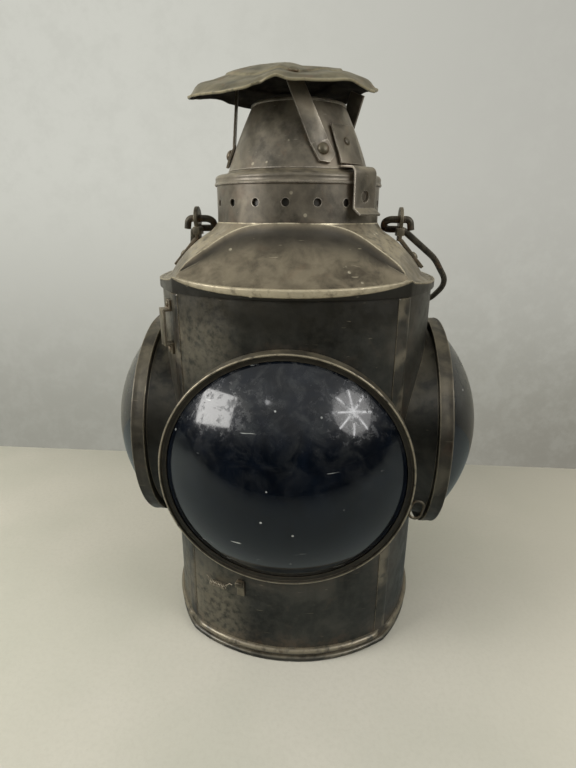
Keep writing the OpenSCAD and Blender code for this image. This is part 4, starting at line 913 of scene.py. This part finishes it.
# Height of the underside of its battered hem, by the way that it faces
CROWN_HEM = [
    (-180, 344.5), (-150, 344.5), (-142, 345.2), (-133, 345.9), (-124, 347.2), (-108, 345.0), (-90, 341.2),
    (-77, 339.2), (-56, 337.0), (-39, 335.3), (-30, 335.0), (-19, 335.5), (-12.6, 336.8), (-7.9, 338.2),
    (-3.3, 339.6), (-0.4, 340.3), (2.6, 339.6), (5.6, 338.8), (13, 338.6), (20.7, 338.8), (29, 339.4),
    (38, 340.8), (44.6, 340.7), (51, 339.8), (62, 339.1), (75, 341.2), (85, 343.6), (98, 346.4), (114.5, 349.0),
    (124, 348.6), (135.5, 346.0), (150, 344.8), (180, 344.5)]
# How far out the rows of points lie, close together at the lap of the disc and at the hem
CROWN_SHARES = [
    0, 0.09, 0.18, 0.27, 0.36, 0.45, 0.52, 0.565, 0.59, 0.603, 0.612, 0.621, 0.64, 0.67, 0.70, 0.74, 0.78,
    0.82, 0.86, 0.89, 0.92, 0.945, 0.965, 0.98, 0.99]


def through(table, x):
    """A smooth line through a table of (x, height)."""
    x = min(max(x, table[0][0]), table[-1][0])
    i = max(k for k in range(len(table) - 1) if table[k][0] <= x or k == 0)
    x0, x1 = table[i][0], table[i + 1][0]

    def slope(k):
        lo, hi = table[max(k - 1, 0)], table[min(k + 1, len(table) - 1)]
        return (hi[1] - lo[1]) / (hi[0] - lo[0])

    w = x1 - x0
    t = (x - x0) / w
    return (table[i][1] * (1 + 2 * t) * (1 - t) ** 2 + slope(i) * w * t * (1 - t) ** 2
            + table[i + 1][1] * t * t * (3 - 2 * t) + slope(i + 1) * w * t * t * (t - 1))


def dent(a, at, wide):
    d = abs((a - at + 180) % 360 - 180)
    return exp(-(d / wide) ** 2)


def crown_reach(a):
    return CROWN_R + 1.9 * dent(a, -90, 35) - 1.6 * dent(a, 90, 35)


def crown_z(r, a):
    """Top of the crown's sheet; a runs from -180 to 180, r from the crown's own centre."""
    reach = crown_reach(a)
    x = r * sin(radians(a))
    y = abs(r * cos(radians(a)))
    t = min(1.0, y / sqrt(max(reach * reach - x * x, 1e-6)))
    hem = through(CROWN_HEM, a) + CROWN_T + 0.3
    # close to the hem the sheet follows it round
    return mix(mix(through(CROWN_MID, x), hem, 0.72 * t + 0.28 * t * t), hem, ease(0.9, 1.0, r / reach))


def crown_at(x, y):
    q = Vector((x - CROWN_SHIFT, y, 0))
    return crown_z(q.length, az_of(q))


def crown_point(a, share, drop):
    """A point of the battered sheet: so much of the way out, and so far below its top."""
    r = crown_reach(a) * share
    nick = 1.3 * max(0.0, rough((a * 0.8, 0, 0), 5.0, 11.0) - 0.22)
    nick += 2.4 * dent(a, 97, 3) + 1.5 * dent(a, 351, 2)
    p = az_dir(a) * (r - nick * ease(0.75, 0.98, share))
    lap = 0.45 - 0.95 * ease(0.598, 0.616, share) * ease(0.9, 0.72, share)
    z = crown_z(r, a) - drop + lap * ease(0.99, 0.9, share) - 0.45
    lumps = 0.5 * rough((p.x, p.y, 0), 11, 4.4) + 0.35 * rough((p.x, p.y, 0), 25, 2.9)
    z += lumps * ease(0.02, 0.2, share) * ease(1.0, 0.85, share)
    z += 0.3 * rough((a * 1.2, 3, 0), 7, 8.1) * ease(0.8, 1.0, share)
    return Vector((p.x + CROWN_SHIFT, p.y, z))


def crown_sheet():
    """The battered cap: a low disc lapped over a drooping skirt with dents, small tears and a rolled hem."""
    count, inside, rows = 360, len(CROWN_SHARES) + 1, []
    for i in range(count):
        a = 360 * i / count
        a = a - 360 if a > 180 else a
        row = [(s, 0.0, 0.7 * ease(0.585, 0.6, s) * ease(0.63, 0.615, s) + ease(0.955, 0.985, s))
               for s in CROWN_SHARES]
        row += [(1.0, 0.35, 1.0), (1.0, 1.0, 1.0), (0.99, 1.45, 0.4)]
        row += [(s, CROWN_T, 0.0) for s in reversed(CROWN_SHARES[:-1])]
        # each point carries its rub mark and, on the underside rows, painted shade
        rows.append([(crown_point(a, share, drop), rub, ease(inside, inside + 2, k))
                     for k, (share, drop, rub) in enumerate(row)])
    return sheet("crown_sheet", rows, sharp=55, marks=("rub", "dark"))


# ---- wires

def unit2(p, q):
    d = (q[0] - p[0], q[1] - p[1])
    n = hypot(*d)
    return d[0] / n, d[1] / n


def rounded(points, step=5.0):
    """Rounds the corners of a flat route of (x, y, bend radius)."""
    out = [points[0][:2]]
    for p, q, r in zip(points, points[1:], points[2:]):
        (ax, ay), (bx, by) = unit2(p, q), unit2(q, r)
        turn = atan2(ax * by - ay * bx, ax * bx + ay * by)
        if abs(turn) < 1e-6 or q[2] == 0:
            out.append(q[:2])
            continue
        s = 1 if turn > 0 else -1
        back = q[2] * tan(abs(turn) / 2)
        mx, my = q[0] - back * ax - s * q[2] * ay, q[1] - back * ay + s * q[2] * ax
        h = atan2(ay, ax) - s * pi / 2
        n = max(2, ceil(degrees(abs(turn)) / step))
        out += [(mx + q[2] * cos(h + turn * k / n), my + q[2] * sin(h + turn * k / n)) for k in range(n + 1)]
    return out + [points[-1][:2]]


def bail_wire():
    """The swinging handle: journals in the ears, offset arms, a wide bow and a turned-up finger at each end."""
    reach = (RING_BACK + RING_DEPTH + BAIL_CLEAR + BAIL_WIRE) / cos(radians(BAIL_DROOP))
    half = [(62.8, 0, 0), (55.4, 0, 4.6), (55.4, 10.6, 4.6), (68, 10.6, 10), (96, 46, 60), (113.5, 82, 40),
            (104, reach - 4, 24)]
    route = half + [(0, reach, 400)] + [(-x, y, r) for x, y, r in reversed(half)]
    elbow, kept, thin = -72, 0.3, BAIL_WIRE - 0.03

    def hang(points, angle):
        c, s = cos(radians(angle)), sin(radians(angle))
        return [Vector((x, y * c, BAIL_Z + y * s)) for x, y in points]

    # the left arm is bent in
    bow = hang([(x if x > elbow else mix(elbow, x, kept), y) for x, y in rounded(route)], -BAIL_DROOP)
    bow = [p + Vector((0, 0.5 * rough((p.x, 0, 0), 31, 1.7), 0.5 * rough((p.x, 9, 0), 27, 5.3)))
           * ease(70, 90, abs(p.x)) for p in bow]
    parts = [wire("bow", bow, thin, 20)]
    for side in (-1, 1):
        parts.append(wire("journal", [(side * 61.8, 0, BAIL_Z), (side * 67.6, 0, BAIL_Z)], BAIL_WIRE, 32))
        finger = hang(rounded([(66.6, 0, 0), (71, 0, 3), (72, 6.4, 0)]), -BAIL_DROOP - 50)
        parts.append(wire("finger", [(side * p.x, p.y, p.z) for p in finger], thin, 20))
    return joined("bail_bow", parts)


def on_panel(side, b, along, rise, out, z):
    """A point on a side panel: b is the turn round its arc; along, rise and out are millimetres from there."""
    d, t = az_dir(side + b), az_dir(side + b + 90)
    return az_dir(side) * -PANEL_OFF + d * (PANEL_R + out) + t * along + up(z + rise)


def spring_wire():
    """The small coil spring on the front panel, with a bent leg at each end."""
    turns, pitch, coil = 9, 1.25, 1.5
    end = turns * pitch / 2
    route = [(-end - 3.4, coil + 2.4, 0), (-end - 2.2, coil + 1.7, 0), (-end - 1.2, coil + 0.6, 0)]
    route += [(t / 20 * pitch - end, coil * cos(pi * t / 10), coil * sin(pi * t / 10))
              for t in range(turns * 20 + 1)]
    route += [(end + 1.2, coil + 0.6, 0), (end + 3.2, coil + 2.6, 0), (end + 5.2, coil + 2.4, 0)]
    points = [on_panel(0, SPRING_TURN, x, y, coil + 0.65 + o, SPRING_Z) for x, y, o in route]
    return wire("ring_spring_wire", points, 0.35, 8)


def ring_loop_wire():
    """The oblong wire loop beside the front ring."""
    angle, loop_r, loop_wire, half, count = radians(-14), 3.4, 0.75, 2.1, 40
    base, depth = RING_R + loop_wire + 0.15 + loop_r, RING_BACK + RING_DEPTH / 2
    points = []
    for k in range(count):
        t = 2 * pi * k / count
        u, v = base + loop_r * cos(t), loop_r * sin(t) + (half if sin(t) >= 0 else -half)
        points.append((u * cos(angle) - v * sin(angle), -depth,
                       LENS_Z + u * sin(angle) + v * cos(angle)))
    return wire("ring_loop_wire", points, loop_wire, 14, closed=True)


# ---- rivets

def on_cone(a, h, out):
    """A point on the cone and the way that the cone faces there."""
    facing = az_dir(a) * cos(CONE_SLOPE) + up(sin(CONE_SLOPE))
    return az_dir(a) * (cone_r(h) + out) + up(CONE_Z + h), facing


def strap_rivet_places():
    feet = [on_cone(a, STRAP_FOOT - CONE_Z, 0.2) for a in STRAP_AT]
    return [(p + facing * 1.75, facing) for p, facing in feet]


def crown_rivet_places():
    places = []
    for a in STRAP_AT:
        p = az_dir(a - STRAP_LEAN) * CROWN_RIVET_R
        dx = (crown_at(p.x + 2, p.y) - crown_at(p.x - 2, p.y)) / 4
        dy = (crown_at(p.x, p.y + 2) - crown_at(p.x, p.y - 2)) / 4
        places.append((p + up(crown_at(p.x, p.y) - 0.5), Vector((-dx, -dy, 1)).normalized()))
    return places


def ear_rivet_places():
    slope = asin((EAR_FOOT_R - DOME_CX) / DOME_ARC)
    places = []
    for s in (-1, 1):
        normal = Vector((s * sin(slope), 0, cos(slope)))
        down = Vector((s * cos(slope), 0, -sin(slope)))
        places.append((Vector((s * EAR_FOOT_R, 0, dome_z(EAR_FOOT_R))) + down * 2 + normal * 2.15, normal))
    return places


def bracket_rivet_places():
    facing = az_dir(LOOP_PANEL + LOOP_TURN)
    return [(on_panel(LOOP_PANEL, LOOP_TURN, 0, s * 13.25, 1.6, LOOP_Z), facing) for s in (-1, 1)]


# ---- where the case is rubbed, rusty and dusty

def case_rub(p):
    """Bare metal and a painted highlight on the bead's crest and beside the corners."""
    a = az_of(p)
    bead = exp(-((p.z - BEAD_Z - 0.9) / 1.6) ** 2) * ease(wall_r(a, 0.3), wall_r(a, 1.3), hypot(p.x, p.y))
    corner = 0.5 * ease(41, 44.5, abs(side_angle(a))) * ease(0.1, 0.5, rough(p, 18, 2.2))
    return max(bead, corner)


def case_rust(p):
    """Rust runs below the rings, along the foot and beside the corners."""
    off = abs(side_angle(az_of(p)))
    foot = ease(26, 10, p.z) * 0.5
    beside = ease(33, 42, off) * 0.4 * (0.6 + rough(p, 60, 4.1))
    halo = ease(92, 76, hypot(p.z - LENS_Z, off * 1.5)) * ease(120, 90, p.z) * 0.3
    return min(1.0, max(foot, beside, halo, 0.0))


def case_dust_and_sheen(p):
    """Dust and a painted sheen, pale grey at the lower and the upper left of the front, where the light falls
    from the left.
    """
    low = ease(-18, -44, p.x) * ease(78, 40, p.z) * 0.36
    high = ease(-22, -42, p.x) * ease(170, 205, p.z) * 0.3
    return max(low, high)


# ---- putting the lamp together

def vent_pipe():
    return run_tree("vent_pipe", [(0, 0, 0)], [], VENT_TREE, {
        "Outer radius": COLLAR_R * MM, "Wall": SHEET * MM, "Height": COLLAR_H * MM, "Foot": COLLAR_FOOT * MM,
        "Holes": VENTS, "Hole radius": VENT_R * MM, "Hole height": VENT_Z * MM,
        "First hole": radians(FIRST_VENT), "Finish": FINISHES["hood_paint"]}, 35)


def vent_shade_sleeve():
    """A sheet of dark paint behind the vent holes, so that they show dark: painted shade."""
    return lathe("vent_shade_sleeve", [
        (47.4, 274), (48.5, 273.4), (49.3, 273.4), (49.3, 274.4), (48.6, 274.6), (48.5, 290), (48.3, 290.5),
        (47.5, 290.5), (47.4, 290)], 128)


def lamp_pieces():
    # the case's marks: a painted shadow under the dome's lip, dust with a painted sheen at the left, rubbed
    # paint with painted highlights on the bead and corners, and rust
    dress(case_walls(), "lamp", "case_paint", "case_body", dusty=case_dust_and_sheen,
          dark=lambda p: 0.6 * ease(211, 226, p.z), rub=case_rub, rusted=case_rust)
    dress(corner_seams(), "lamp", "case_paint", "case_body", rusted=case_rust,
          rub=lambda p: 0.5 * ease(0.0, 0.5, rough(p, 14, 6.2)))
    dress(base_tray(), "lamp", "case_paint", "base_pan", rub=lambda p: 0.5 * ease(0.1, 0.5, rough(p, 10, 1.2)))
    # the dome's underside faces take the case paint, painted near black: painted shade
    turn_dark(dress(dome_shell(), "lamp", "shoulder_paint", "case_dome"), FINISHES["case_paint"])
    dress(vent_pipe(), "lamp", "hood_paint", "vent_collar")
    dress(vent_shade_sleeve(), "lamp", "hood_paint", "vent_collar", FINISHES["case_paint"])
    for side, turn in SIDES.items():
        axis = az_dir(turn)

        def off_axis(p):
            return (p - axis * p.dot(axis) - up(LENS_Z)).length

        dress(lens_barrel(side), "lamp", "case_paint", "lens_barrel_" + side)
        # painted shade on the ring's inner face next to the glass, rubbed paint with a painted highlight on the
        # crest of its roll
        dress(lens_ring(side), "lamp", "ring_metal", "lens_ring_" + side,
              dark=lambda p: 0.72 * ease(70.0, 69.3, off_axis(p)),
              rub=lambda p: ease(94.7, 95.1, p.dot(axis)) * ease(69.6, 70.1, off_axis(p)))
        dress(lens_glass(side), "lamp", "lens_glass", "lens_" + side)
    dress(ring_loop_wire(), "lamp", "wire_steel", "ring_loop")
    dress(spring_wire(), "lamp", "wire_steel", "ring_spring", FINISHES["spring_steel"])
    for name, places, size in (("ear", ear_rivet_places(), (2.8, 1.5)),
                               ("bracket", bracket_rivet_places(), (2.0, 1.1))):
        dress(rivets(name + "_rivet_heads", places, *size), "lamp", "fitting_metal", name + "_rivets")


def hood_and_bail_pieces():
    dress(hood_brim(), "hood", "hood_paint", "hood_brim")
    dress(hood_cone(), "hood", "hood_paint", "hood_cone")
    # the underside faces of the crown take a near-black finish: painted shade
    turn_dark(dress(crown_sheet(), "hood", "crown_metal", "crown_cap"), FINISHES["soot"])
    big = rivets("strap_rivet_heads", strap_rivet_places(), 3.3, 2.2)
    small = rivets("plate_rivet_head", [on_cone(LATCH_AT, PLATE_RIVET_H, 1.35)], 2.4, 1.2)
    dress(joined("hood_rivet_heads", [big, small]), "hood", "fitting_metal", "hood_rivets")
    dress(rivets("crown_rivet_heads", crown_rivet_places(), 2.8, 1.4), "hood", "crown_metal", "crown_rivets")
    dress(bail_wire(), "bail", "wire_steel", "bail")


def wick_plait():
    """The cotton wick: a flat strip with soft edges, plaited stitches pressed into it and a ragged top."""
    solid = frame["nodes"]["wick"].data.vertices
    lo, hi = (Vector([pick(v.co[i] for v in solid) / MM for i in range(3)]) for pick in (min, max))
    half, around, levels, plait, stitch_h = (hi.x - lo.x) / 2, 96, 140, 3.7, 2.3
    rows = []
    for k in range(levels + 1):
        z = mix(lo.z, hi.z, k / levels)
        row = []
        for i in range(around):
            t = i / around * 2 * pi
            x = half * copysign(abs(cos(t)) ** 0.7, cos(t))
            y = hi.y * copysign((1 - (abs(x) / half) ** 5) ** 0.4, sin(t))
            across = abs((x / plait) % 1 - 0.5) * plait
            stitch = 0.5 + 0.5 * sin(2 * pi * (z + across) / stitch_h)
            y *= 1 - 0.2 * stitch - 0.1 * ease(0.5, 0.0, across)
            drop = 0.9 * max(0.0, rough((x * 3, y, 0), 2.5, 3.3)) * ease(hi.z - 1.5, hi.z, z)
            row.append((x * (1 - 0.012 * stitch), y, z - drop))
        rows.append(row)
    top = [[(x * 0.5, y * 0.5, z - 0.2) for x, y, z in rows[-1]], [(0, 0, hi.z - 0.4)] * around]
    return sheet("wick_plait", [[(0, 0, rows[0][0][2])] * around] + rows + top, False, True, 60, 0.000004)


SMALL_PARTS = {
    "hood": "crown_strap_front crown_strap_left crown_strap_right latch_plate hinge_leaf_upper draft_baffle",
    "latch": "latch_strap",
    "lamp": "spring_tab latch_button hinge_leaf_lower hinge_pin bail_ear_left bail_ear_right bracket_loop "
            "pot_seat",
    "burner": "oil_pot burner_collar burner_body burner_gallery burner_deflector wick_tube",
    "wick": "wick",
    "wick_feed": "wick_wheel wick_knob",
    "cap": "filler_cap",
}


def small_pieces():
    """Every other solid gets a cleaned copy with eased edges and the finish of its slot."""
    slots = {part["node"]: part["material_slot"] for part in frame["record"]["subparts"]}
    for body, nodes in SMALL_PARTS.items():
        for node in nodes.split():
            piece = wick_plait() if node == "wick" else from_solid(node + "_piece", node)
            if node.startswith("crown_strap"):
                for v in piece.data.vertices:
                    v.co.z = min(v.co.z, (crown_at(v.co.x / MM, v.co.y / MM) - CROWN_T - 0.75) * MM)
            dress(piece, body, slots[node], node)


lamp_pieces()
hood_and_bail_pieces()
small_pieces()


# ---- floor, wall, light and camera

def stage_sheet(name, corners, material):
    mesh = bpy.data.meshes.new(name)
    mesh.from_pydata(corners, [], [(0, 1, 2, 3)])
    mesh.materials.append(material)
    obj = new_object(name, mesh)
    return obj


def floor_finish():
    f = Finish("studio_floor")
    x, y = f.part(f.place, "X"), f.part(f.place, "Y")
    tone = f.blend(f.ramp(f.noise(160, 4, 0.5), 0.35, 0.65), "#c5c3b4", "#cfcbbd")
    tone = f.blend(f.ramp(f.noise(3, 5, 0.7), 0.4, 0.7, 0, 0.25), tone, "#bab6a6")
    # painted light: the floor lighter towards the right
    tone = f.blend(f.ramp(x, 0.06, 0.35, 0.0, 0.8), tone, "#e2dcca")
    # painted reflection: metal and glass see the floor dim, and dark towards the front
    mirrored = f.blend(f.ramp(y, -0.5, -0.26), "#15191c", "#8b928f")
    f.relief(f.noise(2.5, 4, 0.6), 0.08)
    glossy = f.add("ShaderNodeLightPath", out="Is Glossy Ray")
    return f.shade(Base_Color=f.blend(glossy, tone, mirrored), Roughness=0.85)


def wall_finish():
    """Pale grey with painted light, lighter at the upper left, and painted shade, darker near the floor and at
    the lower right; seen from behind it is clear.
    """
    f = Finish("studio_wall")
    x, z = f.part(f.place, "X"), f.part(f.place, "Z")
    # painted light and shade: lighter at the upper left, darker near the floor, darkest at the lower right; the
    # mottle is the wall's own
    tone = f.blend(f.ramp(x, -0.22, 0.32), "#ccccc3", "#b4b3ab")
    tone = f.blend(f.ramp(z, 0.0, 0.34, 1.0, 0.0), tone, "#96958b")
    tone = f.blend(f.times(f.ramp(x, 0.05, 0.3), f.ramp(z, 0.0, 0.2, 0.8, 0.0)), tone, "#817e74")
    mottle = f.times(f.ramp(f.noise(26, 8, 0.75), 0.42, 0.66), f.ramp(z, 0.02, 0.3, 0.12, 0.3))
    tone = f.blend(mottle, tone, "#bdbdb4")
    f.shade(Base_Color=tone, Roughness=0.9)
    # for the camera the wall glows with these painted tones
    shown = f.add("ShaderNodeEmission", {"Color": tone})
    seen = f.add("ShaderNodeMixShader", {
        0: f.add("ShaderNodeLightPath", out="Is Camera Ray"), 1: f.shader.outputs[0], 2: shown})
    behind = f.add("ShaderNodeMixShader", {
        0: f.add("ShaderNodeNewGeometry", out="Backfacing"), 1: seen, 2: f.add("ShaderNodeBsdfTransparent")})
    f.put(f.tree.nodes["Material Output"].inputs["Surface"], behind)
    return f.material


WALL_Y = 0.20
stage_sheet("floor", [(-4, -4, 0), (4, -4, 0), (4, 4, 0), (-4, 4, 0)], floor_finish())
stage_sheet("back_wall", [(-2, WALL_Y, 0), (2, WALL_Y, 0), (2, WALL_Y, 2.4), (-2, WALL_Y, 2.4)], wall_finish())

# a low dark card in front of the lamp, which the front glass shows as the end of the floor
card = stage_sheet("dark_card", [(-1.6, -0.47, 0), (1.6, -0.43, 0), (1.6, -0.43, 0.13), (-1.6, -0.47, 0.13)],
                   Finish("dark_card").shade(Base_Color=(0.01, 0.011, 0.014, 1), Roughness=0.9))
card.visible_camera = card.visible_shadow = card.visible_diffuse = False

scene.world = bpy.data.worlds.new("studio")
scene.world.use_nodes = True
sky = Nodes(scene.world.node_tree)


def sky_light(colour, strength):
    return sky.add("ShaderNodeBackground", {"Color": colour, "Strength": strength})


def sky_pick(share, a, b):
    return sky.add("ShaderNodeMixShader", {0: share, 1: a, 2: b})


def sky_ray(kind):
    return sky.add("ShaderNodeLightPath", out=kind)


# the room: soft grey light, darker near the horizon where metal and glass mirror it, and pale behind the lamp
way = sky.add("ShaderNodeTexCoord", out="Generated")
height = sky.add("ShaderNodeMapRange", {
    "Value": sky.add("ShaderNodeSeparateXYZ", {0: way}, "Z"), "From Min": 0.05, "From Max": 0.75},
    interpolation_type="SMOOTHSTEP")
room = sky_light("#b9bab8", 0.88)
mirrored_room = sky_pick(height, sky_light("#141a22", 1.0), sky_light("#c4c5c4", 1.15))
lit = sky_pick(sky_ray("Is Glossy Ray"), room, mirrored_room)
sky.put(sky.tree.nodes["World Output"].inputs["Surface"],
        sky_pick(sky_ray("Is Camera Ray"), lit, sky_light("#cbcbc4", 1.0)))


def lamp_light(name, at, facing, size, across, radiance, colour=(1, 1, 1), shape="RECTANGLE"):
    """An area light at a point in metres; across is the direction of its first side."""
    light = bpy.data.lights.new(name, "AREA")
    light.shape = shape
    light.size, light.size_y = size
    light.energy = radiance * pi * size[0] * size[1] * (pi / 4 if shape == "DISK" else 1)
    light.color = colour
    obj = bpy.data.objects.new(name, light)
    scene.collection.objects.link(obj)
    z = -Vector(facing).normalized()
    x = (Vector(across) - z * Vector(across).dot(z)).normalized()
    y = z.cross(x)
    obj.matrix_world = Matrix([(x[i], y[i], z[i], at[i]) for i in range(3)] + [(0, 0, 0, 1)])


def from_glass(point, direction, distance=0.9):
    """Where a lamp stands that the front glass mirrors at a point in millimetres, and its way to the lamp."""
    at = Vector(point) * MM + Vector(direction).normalized() * distance
    return at, Vector((0, 0, 0.2)) - at


key_at, key_way = from_glass((-35, -103, 182), (-0.844, -0.333, 0.42))
lamp_light("softbox", key_at, key_way, (0.53, 0.37), (0.479, -0.824, 0.303), 11.0, (1.0, 0.985, 0.955))
side_at, side_way = from_glass((34.6, -103.2, 182.8), (0.747, -0.440, 0.499))
lamp_light("umbrella", side_at, side_way, (0.52, 0.52), (0, 0, 1), 3.6, (1.0, 0.98, 0.95), "DISK")
front = side_way.normalized()
level = front.cross(Vector((0, 0, 1))).normalized()
for rib in range(4):
    a = radians(45 * rib + 20)
    lamp_light("umbrella_rib_%d" % rib, side_at + front * 0.01, front, (0.54, 0.02),
               level * cos(a) + front.cross(level) * sin(a), 13.0)
small_at, small_way = from_glass((-7.4, -107.6, 188.4), (-0.269, -0.651, 0.71))
lamp_light("small_lamp", small_at, small_way, (0.07, 0.07), (1, 0, 0), 8.0, shape="DISK")

# the camera that was solved from the photo
camera_data = bpy.data.cameras.new("photo_view")
camera_data.sensor_fit = "VERTICAL"
camera_data.sensor_height = 36
camera_data.lens = 23.394
camera = bpy.data.objects.new("photo_view", camera_data)
scene.collection.objects.link(camera)
camera.matrix_world = Matrix((
    (0.9970983, -0.02912122, 0.07033452, 0.01939537),
    (0.07596859, 0.32148758, -0.94386149, -0.33580273),
    (0.00487472, 0.94646589, 0.32276702, 0.27607652),
    (0, 0, 0, 1)))
scene.camera = camera
scene.view_settings.view_transform = "Standard"

bpy.context.view_layer.update()
